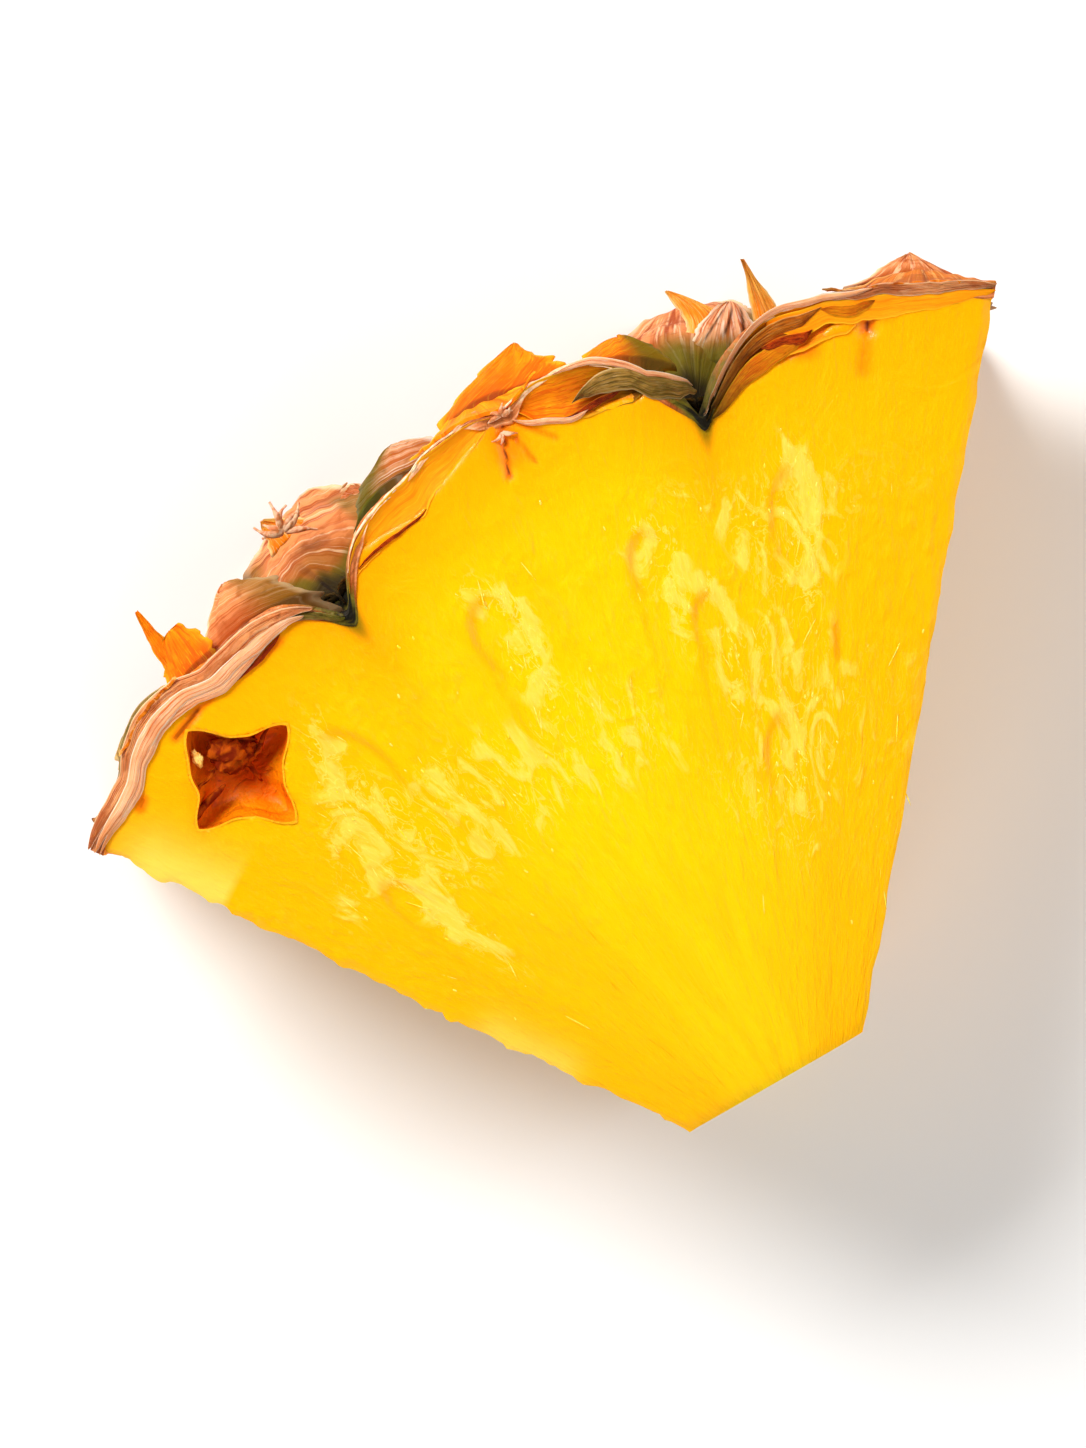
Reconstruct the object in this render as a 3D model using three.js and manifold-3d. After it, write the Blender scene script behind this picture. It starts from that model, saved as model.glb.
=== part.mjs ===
// A fresh pineapple wedge with its rind on, lying on one of its two round-cut faces.
// Millimetres, +Z up. The fruit's own axis runs along Z and its crown end is down.
// The origin is on the resting face, on the wedge's bisector, and +Y runs out through the rind.
// Places on the fruit are polar: an angle in degrees from the bisector, positive towards -X,
// a radius from the fruit's axis, and a height above the resting face.
import * as THREE from "three";
import { mergeVertices } from "three/addons/utils/BufferGeometryUtils.js";
import Module from "manifold-3d";

const wasm = await Module();
wasm.setup();

// Slice and straight cuts
const SLICE_THICKNESS = 24;
const CUT_ANGLE = 37.1;
const CORE_CUT_DISTANCE = 9;
const CORE_CUT_SKEW = 2.7;
const AXIS_TO_ORIGIN = 36;

// Rind: the radius falls towards larger angles, less so at the resting face, and the shown face is
// a little oval. The creases between eyes are deeper and narrower on the side of smaller angles
const SKIN_RADIUS = 56.8;
const SKIN_FALL_PER_DEGREE = 0.085;
const SKIN_FALL_AT_REST = 0.45;
const SKIN_OVAL = { rise: 1.6, centre: 2, span: 30 };
const SKIN_WOBBLE = 0.25;
const CREASE_DEPTH = { large: 3.8, small: 4.7 };
const CREASE_WIDTH = { large: 1.7, small: 1.15 };
const CREASE_CHANGE = { from: 2, to: -14 };
const CREASE_ROUNDING = 0.7;

// Relief of one eye: its dome, the nub at its middle and the scale over its lower half
const EYE_DOME = 1;
const EYE_REACH = 13;
const NUB_HEIGHT = 0.6;
const NUB_WIDTH = 3.2;
const BRACT_THICKNESS = 0.5;
const BRACT_LENGTH = 9.5;
const BRACT_HALF_WIDTH = 8.5;
const BRACT_EDGE = 1.1;

// Eyes: staggered rows that climb a little round the fruit
const EYE_PITCH = 29.85;
const EYE_ROW_RISE = 20;
const EYE_SLOPE = 2;
const FIRST_EYE_ANGLE = -17.6;
const FIRST_EYE_HEIGHT = 0;

// Fineness of the solids
const SKIN_ARC_STEPS = 104;
const SKIN_HEIGHT_STEPS = 28;
const OVERCUT = 1.5;
const KNIFE_RADIUS = 90;
const LEAF_STEPS_ACROSS = 4;
const LEAF_STEPS_ALONG = 7;
const SLOT_STEPS = 12;

// Opened flower cups: stars with four corners and steep walls, cut into the face at a height
const CUPS = [
  { angle: 26.8, radius: 49.7, height: SLICE_THICKNESS, size: 3.75, corner: 1, turn: 22.5, depth: 4.8 },
  { angle: -17.6, radius: 51.6, height: 0, size: 3.2, corner: 0.9, turn: 60, depth: 4.2 },
  { angle: 12.2, radius: 49.4, height: 0, size: 2.4, corner: 0.7, turn: 5, depth: 2.4 },
];
const CUP_WALL_POWER = 0.45;

// Slots between the thin rind and the flesh, from one angle to another in the face at a height.
// The lip outside each flares away from the flesh.
const SLOTS = [
  { from: 9, to: -3.6, height: SLICE_THICKNESS, inset: 1.45, width: 1.9, depth: 3, flare: 0.4 },
  { from: -4.9, to: -14.6, height: SLICE_THICKNESS, inset: 2, width: 2.9, depth: 3, flare: 1.8 },
  { from: -18.9, to: -28.6, height: SLICE_THICKNESS, inset: 2, width: 2.8, depth: 3.6, flare: 1 },
  { from: 24, to: 14, height: 0, inset: 1.6, width: 2, depth: 2.6, flare: 0.6 },
  { from: -20, to: -29, height: 0, inset: 1.6, width: 2, depth: 2.6, flare: 0.6 },
];
const LIP_DEPTH = 4;

// Seed pockets that the two round cuts open, long towards the core
const POCKETS = [
  { angle: 19.9, radius: 43.4, height: SLICE_THICKNESS, length: 7.5, width: 3.4 },
  { angle: 3.1, radius: 44.8, height: SLICE_THICKNESS, length: 6, width: 3.6 },
  { angle: -11.4, radius: 45.2, height: SLICE_THICKNESS, length: 5, width: 3.2 },
  { angle: -23.7, radius: 46.9, height: SLICE_THICKNESS, length: 7, width: 3 },
  { angle: -15.4, radius: 40.1, height: SLICE_THICKNESS, length: 5, width: 2.6 },
  { angle: -20.9, radius: 30.5, height: SLICE_THICKNESS, length: 6, width: 2.4 },
  { angle: 27.4, radius: 34.6, height: SLICE_THICKNESS, length: 6, width: 2.4 },
  { angle: -8.5, radius: 45, height: 0, length: 6.5, width: 3.4 },
  { angle: -26.5, radius: 45.6, height: 0, length: 6, width: 3 },
  { angle: 21, radius: 42.6, height: 0, length: 7, width: 3.2 },
  { angle: 4.5, radius: 41, height: 0, length: 6, width: 2.8 },
];
const POCKET_DEPTH = 0.7;

// Dry leaf tips that stand off the rind. Lift is the angle off the skin at the root and curl the
// angle added on the way to the tip. Heading is the way the leaf grows over the skin: 0 is towards
// the crown and 90 towards a larger angle. Lean is how far the tip goes to the side, positive
// towards a larger angle, and taper is how fast the leaf narrows: 1 is a triangle, more is a spike.
const LEAVES = [
  // Broad tip over the middle eye
  { angle: -4, height: 20.4, width: 11, length: 3.6, lift: 66, curl: -18, heading: 0, lean: -3, taper: 0.9 },
  // Tip of the left eye: a flap that ends in a spike
  { angle: 23.6, height: 19.6, width: 4.6, length: 5.6, lift: 70, curl: 6, heading: 4, lean: -1.3, taper: 1.4 },
  // Papery lobe beside it
  { angle: 18.2, height: 18.6, width: 9, length: 4.1, lift: 70, curl: -20, heading: 0, lean: -0.9, taper: 0.6 },
  // Curled knot of the lower middle eye
  { angle: 12.6, height: 8, width: 4, length: 2.2, lift: 62, curl: 44, heading: 10, lean: 1.2, taper: 0.9 },
  { angle: 9, height: 8.5, width: 5, length: 1.5, lift: 66, curl: -34, heading: -20, lean: -1.2, taper: 0.9 },
  // Lobe between it and the broad tip
  { angle: 4.4, height: 18, width: 9, length: 2.7, lift: 70, curl: -16, heading: -8, lean: -1.2, taper: 0.6 },
  // Hooked leaf, fan and spike of the lower right eye
  { angle: -21.2, height: 10, width: 6.5, length: 5, lift: 80, curl: -34, heading: 10, lean: 3.8, taper: 0.5 },
  { angle: -19.8, height: 11.5, width: 7, length: 4.4, lift: 76, curl: -10, heading: 6, lean: -1.2, taper: 0.5 },
  { angle: -24.2, height: 10, width: 5, length: 8.8, lift: 80, curl: 4, heading: 4, lean: 2.5, taper: 1.2 },
  // Small curled lip beside the broad tip
  { angle: -12.4, height: 20.5, width: 7, length: 2.3, lift: 72, curl: -40, heading: 0, lean: -0.8, taper: 0.6 },
  // Tip of the right eye
  { angle: -33, height: 18, width: 9, length: 2.6, lift: 58, curl: -14, heading: 0, lean: 1.2, taper: 1 },
  // Frayed lobe of the left eye
  { angle: 29, height: 18, width: 8, length: 1.9, lift: 66, curl: -20, heading: 0, lean: 0, taper: 0.4 },
];
const LEAF_THICKNESS = 0.8;
const LEAF_TIP_WIDTH = 0.35;
const LEAF_ROOT = 2.6;
const LEAF_CUPPING = 0.14;

const radians = THREE.MathUtils.degToRad;

// A polar place on the fruit as a point of the part's frame
function place(angle, radius, height) {
  const turn = radians(angle);
  const x = -radius * Math.sin(turn);
  const y = radius * Math.cos(turn) - AXIS_TO_ORIGIN;
  return new THREE.Vector3(x, y, height);
}

// Moves each vertex of a geometry to where the rule puts it
function mapped(geometry, rule) {
  const position = geometry.attributes.position;
  const point = new THREE.Vector3();
  for (let i = 0; i < position.count; i += 1) {
    point.fromBufferAttribute(position, i);
    const target = rule(point);
    position.setXYZ(i, target.x, target.y, target.z);
  }
  return geometry;
}

// A closed geometry as a solid that can be joined and cut
function solidFrom(geometry) {
  geometry.deleteAttribute("normal");
  geometry.deleteAttribute("uv");
  const merged = mergeVertices(geometry, 1e-4);
  const vertProperties = new Float32Array(merged.attributes.position.array);
  const triVerts = new Uint32Array(merged.index.array);
  return new wasm.Manifold(new wasm.Mesh({ numProp: 3, vertProperties, triVerts }));
}

// A joined and cut solid as a geometry again
function geometryFrom(solid) {
  const mesh = solid.getMesh();
  const geometry = new THREE.BufferGeometry();
  const position = new THREE.BufferAttribute(new Float32Array(mesh.vertProperties), 3);
  geometry.setAttribute("position", position);
  geometry.setIndex(new THREE.BufferAttribute(new Uint32Array(mesh.triVerts), 1));
  geometry.computeVertexNormals();
  return geometry;
}

// The centres of the eyes on and round the slice
function eyeCentres() {
  const centres = [];
  for (let row = -1; row <= 2; row += 1) {
    for (let step = -2; step <= 4; step += 1) {
      const along = step - row / 2;
      centres.push({
        angle: FIRST_EYE_ANGLE + along * EYE_PITCH,
        height: FIRST_EYE_HEIGHT + along * EYE_SLOPE + row * EYE_ROW_RISE,
      });
    }
  }
  return centres;
}
const EYES = eyeCentres();

// The nearest eye to a place on the skin, with how far the place is inside its border
function nearestEye(angle, height) {
  const near = EYES.map((eye) => {
    const aside = SKIN_RADIUS * radians(angle - eye.angle);
    const crownward = eye.height - height;
    return { aside, crownward, distance: Math.hypot(aside, crownward) };
  }).sort((a, b) => a.distance - b.distance);
  return { ...near[0], inside: (near[1].distance - near[0].distance) / 2 };
}

// Relief of the scale that covers an eye's lower half and narrows to a tip at its middle
function bractRelief(eye) {
  const along = (eye.crownward + BRACT_LENGTH) / (BRACT_LENGTH + 1);
  const halfWidth = BRACT_HALF_WIDTH * Math.sqrt(Math.max(0, 1 - along));
  const toEdge = Math.min(halfWidth - Math.abs(eye.aside), (1 - along) * BRACT_LENGTH);
  return BRACT_THICKNESS * THREE.MathUtils.smoothstep(toEdge, -BRACT_EDGE, BRACT_EDGE);
}

// How far the lips outside the slots stand out at an angle and a height
function lipFlare(angle, height) {
  let flare = 0;
  for (const slot of SLOTS) {
    const along = (slot.from - angle) / (slot.from - slot.to);
    if (along > 0 && along < 1) {
      flare += slot.flare * Math.sin(Math.PI * along) * Math.exp(-Math.abs(slot.height - height) / LIP_DEPTH);
    }
  }
  return flare;
}

// Radius of the skin at an angle and a height
function skinRadius(angle, height) {
  const eye = nearestEye(angle, height);
  const rise = height / SLICE_THICKNESS;
  const oval = SKIN_OVAL.rise * ((angle - SKIN_OVAL.centre) / SKIN_OVAL.span) ** 2 * rise;
  const fall = SKIN_FALL_PER_DEGREE * angle * (SKIN_FALL_AT_REST + (1 - SKIN_FALL_AT_REST) * rise);
  const wobble = SKIN_WOBBLE * Math.sin(angle / 2.3 + height / 3.1) * Math.sin(height / 1.9 - angle / 4.7);
  const dome = EYE_DOME * Math.cos((Math.min(eye.distance, EYE_REACH) / EYE_REACH) * (Math.PI / 2));
  const nub = NUB_HEIGHT * Math.exp(-((eye.distance / NUB_WIDTH) ** 2));
  const fromBorder = Math.hypot(eye.inside, CREASE_ROUNDING) - CREASE_ROUNDING;
  const change = THREE.MathUtils.smoothstep(-angle, -CREASE_CHANGE.from, -CREASE_CHANGE.to);
  const creaseDepth = THREE.MathUtils.lerp(CREASE_DEPTH.large, CREASE_DEPTH.small, change);
  const creaseWidth = THREE.MathUtils.lerp(CREASE_WIDTH.large, CREASE_WIDTH.small, change);
  const crease = creaseDepth * Math.exp(-fromBorder / creaseWidth);
  const relief = dome + nub + bractRelief(eye) + lipFlare(angle, height) - crease;
  return SKIN_RADIUS + oval - fall + wobble + relief;
}

// The fruit's flesh and skin, a little larger than the cuts
function fruitSolid() {
  const box = new THREE.BoxGeometry(1, 1, 1, SKIN_ARC_STEPS, 1, SKIN_HEIGHT_STEPS);
  const widest = CUT_ANGLE + OVERCUT;
  const rule = (point) => {
    const angle = -2 * point.x * widest;
    const height = (point.z + 0.5) * (SLICE_THICKNESS + 2 * OVERCUT) - OVERCUT;
    const inner = (CORE_CUT_DISTANCE - OVERCUT) / Math.cos(radians(angle - CORE_CUT_SKEW));
    const radius = point.y < 0 ? inner : skinRadius(angle, height);
    return place(angle, radius, height);
  };
  return solidFrom(mapped(box, rule));
}

// The block that the knife leaves: two round-cut faces, two straight cuts and the core cut
function knifeBlock() {
  const coreRadius = (angle) => CORE_CUT_DISTANCE / Math.cos(radians(angle - CORE_CUT_SKEW));
  const corners = [
    place(CUT_ANGLE, coreRadius(CUT_ANGLE), 0),
    place(-CUT_ANGLE, coreRadius(-CUT_ANGLE), 0),
    place(-CUT_ANGLE, KNIFE_RADIUS, 0),
    place(CUT_ANGLE, KNIFE_RADIUS, 0),
  ];
  const outline = new THREE.Shape(corners.map((corner) => new THREE.Vector2(corner.x, corner.y)));
  return solidFrom(new THREE.ExtrudeGeometry(outline, { depth: SLICE_THICKNESS, bevelEnabled: false }));
}

// One leaf tip: a cupped sheet that leaves the skin at its root and narrows to a point
function leafSolid(leaf) {
  const turn = radians(leaf.angle);
  const outward = new THREE.Vector3(-Math.sin(turn), Math.cos(turn), 0);
  const aside = new THREE.Vector3(-Math.cos(turn), -Math.sin(turn), 0);
  const crownward = new THREE.Vector3(0, 0, -1);
  const heading = radians(leaf.heading);
  const growth = crownward.clone().multiplyScalar(Math.cos(heading));
  growth.addScaledVector(aside, Math.sin(heading));
  const across = aside.clone().multiplyScalar(Math.cos(heading));
  across.addScaledVector(crownward, -Math.sin(heading));
  const lift = radians(leaf.lift);
  const curl = radians(leaf.curl);
  const length = leaf.length + LEAF_ROOT;
  const rootRadius = skinRadius(leaf.angle, leaf.height);
  const root = place(leaf.angle, rootRadius, leaf.height);
  root.addScaledVector(growth, -LEAF_ROOT * Math.cos(lift));
  root.addScaledVector(outward, -LEAF_ROOT * Math.sin(lift));

  const rule = (point) => {
    const along = point.y + 0.5;
    const bent = lift + curl * along;
    const beyondSkin = Math.max(0, 1 - (1 - along) * (length / leaf.length));
    const width = (leaf.width - LEAF_TIP_WIDTH) * (1 - beyondSkin) ** leaf.taper + LEAF_TIP_WIDTH;
    const aslant = point.x * width;
    const footAngle = leaf.angle + THREE.MathUtils.radToDeg((aslant * Math.cos(heading)) / rootRadius);
    const footRadius = skinRadius(footAngle, leaf.height + aslant * Math.sin(heading));
    const direction = growth.clone().multiplyScalar(Math.cos(bent));
    direction.addScaledVector(outward, Math.sin(bent));
    const normal = across.clone().cross(direction);
    const thickness = LEAF_THICKNESS * (1 - 0.45 * along);
    const cupping = LEAF_CUPPING * width * Math.sqrt(along) * (1 - 4 * point.x * point.x);
    const target = root.clone();
    target.addScaledVector(growth, (length * (Math.sin(bent) - Math.sin(lift))) / curl);
    target.addScaledVector(outward, (length * (Math.cos(lift) - Math.cos(bent))) / curl);
    target.addScaledVector(outward, Math.min(0, footRadius - rootRadius) * (1 - along));
    target.addScaledVector(across, aslant + leaf.lean * along * along);
    return target.addScaledVector(normal, point.z * thickness - cupping);
  };
  const box = new THREE.BoxGeometry(1, 1, 1, LEAF_STEPS_ACROSS, LEAF_STEPS_ALONG, 1);
  return solidFrom(mapped(box, rule));
}

// One opened flower cup
function cupSolid(cup) {
  const ball = new THREE.SphereGeometry(1, 32, 12);
  ball.rotateX(Math.PI / 2);
  const centre = place(cup.angle, cup.radius, cup.height);
  const rule = (point) => {
    const around = Math.atan2(point.y, point.x);
    const star = cup.size + cup.corner * Math.cos(4 * (around - radians(cup.turn)));
    const reach = star * Math.hypot(point.x, point.y) ** CUP_WALL_POWER;
    const x = centre.x + reach * Math.cos(around);
    const y = centre.y + reach * Math.sin(around);
    return new THREE.Vector3(x, y, centre.z + cup.depth * point.z);
  };
  return solidFrom(mapped(ball, rule));
}

// One slot between rind and flesh, which follows the skin and narrows to both ends
function slotSolid(slot) {
  const box = new THREE.BoxGeometry(1, 1, 1, SLOT_STEPS, 1, 2);
  const rule = (point) => {
    const along = point.x + 0.5;
    const angle = slot.from + (slot.to - slot.from) * along;
    const fullness = 0.12 + 0.88 * Math.sin(Math.PI * along);
    const inset = slot.inset * (0.4 + 0.6 * fullness);
    const radius = skinRadius(angle, slot.height) - inset + point.y * slot.width * fullness;
    return place(angle, radius, slot.height + 2 * point.z * slot.depth * fullness);
  };
  return solidFrom(mapped(box, rule));
}

// One seed pocket: a shallow dimple, long towards the core
function pocketSolid(pocket) {
  const ball = new THREE.SphereGeometry(0.5, 12, 6);
  ball.rotateX(Math.PI / 2);
  ball.scale(pocket.width, pocket.length, 2 * POCKET_DEPTH);
  ball.rotateZ(radians(pocket.angle));
  const centre = place(pocket.angle, pocket.radius, pocket.height);
  ball.translate(centre.x, centre.y, centre.z);
  return solidFrom(ball);
}

// The main body alone: a loose scrap is dropped and a sealed gap under a leaf is filled
function mainBody(solid) {
  return solid.decompose().reduce((most, body) => (body.volume() > most.volume() ? body : most));
}

// The whole wedge as one solid
function wedgeSolid() {
  let wedge = fruitSolid();
  for (const leaf of LEAVES) {
    wedge = wedge.add(leafSolid(leaf));
  }
  wedge = wedge.intersect(knifeBlock());
  for (const cup of CUPS) {
    wedge = wedge.subtract(cupSolid(cup));
  }
  for (const slot of SLOTS) {
    wedge = wedge.subtract(slotSolid(slot));
  }
  for (const pocket of POCKETS) {
    wedge = wedge.subtract(pocketSolid(pocket));
  }
  return mainBody(wedge);
}

const fleshMaterial = new THREE.MeshStandardMaterial({ color: 0xffd21a, roughness: 0.35, metalness: 0 });
const chunk = new THREE.Mesh(geometryFrom(wedgeSolid()), fleshMaterial);
chunk.name = "pineapple_chunk";

const part = new THREE.Group();
part.add(chunk);

export default part;
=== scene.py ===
"""Looks of a fresh pineapple wedge with its rind on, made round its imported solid.

Lengths are millimetres and angles are degrees, until a mesh or a shader takes them in metres. The
frame is the solid's: +Z up out of the shown round-cut face, +Y along the wedge's bisector out
through the rind, and the origin on the resting face. Places on the fruit are polar: an angle from
the bisector, positive towards -X, a radius from the fruit's own axis, and a height above the
resting face. The fruit's crown end is down.
"""

import logging
import math
from collections.abc import Sequence
from dataclasses import dataclass, field
from enum import Enum

import bpy
import numpy as np
from bpy.types import Material, Mesh, Node, NodeSocket, NodeTree, Object
from mathutils import Matrix, Vector
from numpy import ndarray


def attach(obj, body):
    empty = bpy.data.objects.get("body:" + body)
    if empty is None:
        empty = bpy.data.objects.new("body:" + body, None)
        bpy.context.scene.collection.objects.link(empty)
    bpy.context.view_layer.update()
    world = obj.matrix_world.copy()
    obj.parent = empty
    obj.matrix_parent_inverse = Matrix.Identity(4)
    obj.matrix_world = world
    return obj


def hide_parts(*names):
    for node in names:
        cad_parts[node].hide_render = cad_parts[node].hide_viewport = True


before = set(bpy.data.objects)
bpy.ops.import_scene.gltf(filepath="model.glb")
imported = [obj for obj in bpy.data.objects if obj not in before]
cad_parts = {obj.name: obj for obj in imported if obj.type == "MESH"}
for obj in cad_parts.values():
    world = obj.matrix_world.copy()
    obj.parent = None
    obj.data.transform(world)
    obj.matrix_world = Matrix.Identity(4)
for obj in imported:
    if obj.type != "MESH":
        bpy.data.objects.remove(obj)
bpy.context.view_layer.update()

Colour = tuple[float, float, float, float]

MM = 0.001
FLOOR_GAP = 0.01
MID_RADIUS = 40.0
PAPER_BEND = 75.0
PHOTO_TURN = 27.4
PHOTO_TILT = 6.0
PHOTO_RIGHT = np.array((math.cos(math.radians(PHOTO_TURN)), -math.sin(math.radians(PHOTO_TURN)), 0.0))
PHOTO_UP = np.array((math.sin(math.radians(PHOTO_TURN)), math.cos(math.radians(PHOTO_TURN)), 0.0))
NODE = "pineapple_chunk"
LOG = logging.getLogger("pineapple_wedge")


class Slot(Enum):
    """The material slots of the part's record."""

    FLESH = "flesh"
    RIND = "rind"
    LEAF_TIP = "leaf_tip"
    FLOWER_CUP = "flower_cup"


def ease(value: ndarray, low: float, high: float) -> ndarray:
    """Eases values to 0 at low and to 1 at high; low may be the larger one."""
    share = np.clip((value - low) / (high - low), 0.0, 1.0)
    return share * share * (3.0 - 2.0 * share)


def facing(height: float) -> float:
    """Which way the round-cut face at a height looks: 1 up for the shown one and -1 down for the resting one."""
    return 1.0 if height > 0.0 else -1.0


def srgb(red: float, green: float, blue: float) -> Colour:
    """Turns a screen colour, 0 to 255, into the linear colour with full alpha that a shader takes."""
    shares = [channel / 255.0 for channel in (red, green, blue)]
    return (*[s / 12.92 if s <= 0.04045 else ((s + 0.055) / 1.055) ** 2.4 for s in shares], 1.0)


class Noise:
    """Smooth seeded noise in three dimensions, from -1 to 1."""

    def __init__(self, seed: int) -> None:
        """Draws the tables.

        Args:
            seed: Seed of the draw.
        """
        source = np.random.default_rng(seed)
        self.order = source.permutation(256)
        self.levels = source.uniform(-1.0, 1.0, 256)

    def value(self, x: ndarray, y: ndarray, z: ndarray | float = 0.0) -> ndarray:
        """Reads one octave, whose bumps are about one unit wide.

        Args:
            x: First coordinate.
            y: Second coordinate.
            z: Third coordinate.

        Returns:
            The noise at each place.
        """
        axes = [np.asarray(a, float) for a in np.broadcast_arrays(x, y, z)]
        cells = [np.floor(a).astype(int) for a in axes]
        parts = [a - c for a, c in zip(axes, cells)]
        soft = [p * p * (3.0 - 2.0 * p) for p in parts]
        total = np.zeros(axes[0].shape)
        for corner in np.ndindex(2, 2, 2):
            weight = np.ones(axes[0].shape)
            key = np.zeros(axes[0].shape, int)
            for step, cell, share in zip(corner, cells, soft):
                weight = weight * (share if step else 1.0 - share)
                key = self.order[(key + cell + step) % 256]
            total += weight * self.levels[key]
        return total

    def fractal(self, x: ndarray, y: ndarray, z: ndarray | float = 0.0, octaves: int = 3) -> ndarray:
        """Adds up octaves, each twice as fine and half as strong as the one before.

        Args:
            x: First coordinate.
            y: Second coordinate.
            z: Third coordinate.
            octaves: How many octaves are added.

        Returns:
            The summed noise at each place.
        """
        total = np.zeros(np.broadcast(x, y, z).shape)
        for octave in range(octaves):
            scale = 2.0 ** octave
            total += self.value(x * scale, y * scale, z * scale + 17.0 * octave) / scale
        return total


@dataclass(frozen=True)
class Gap:
    """A gap between the thin rind and the flesh, from one angle to another in the face at a height."""

    start: float
    end: float
    height: float
    inset: float
    width: float
    depth: float
    flare: float

    def along(self, angle: ndarray) -> ndarray:
        """How far along the gap an angle is, 0 to 1 inside it."""
        return (self.start - angle) / (self.start - self.end)

    def fullness(self, angle: ndarray) -> ndarray:
        """How open the gap is at an angle: 1 at its middle and 0 outside its ends."""
        return np.sin(np.pi * np.clip(self.along(angle), 0.0, 1.0))


@dataclass(frozen=True)
class Cup:
    """An opened flower cup: a star with four corners and steep walls, cut into the face at a height."""

    angle: float
    radius: float
    height: float
    size: float
    corner: float
    turn: float
    depth: float
    bulge: float = 0.0


@dataclass(frozen=True)
class Pocket:
    """A seed pocket that a round cut opens, long towards the core."""

    angle: float
    radius: float
    height: float
    length: float
    width: float
    shade: float = 1.0


@dataclass(frozen=True)
class EyeView:
    """Places on the skin as their nearest eye sees them, in millimetres."""

    index: ndarray
    aside: ndarray
    crownward: ndarray
    distance: ndarray
    inside: ndarray


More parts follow.
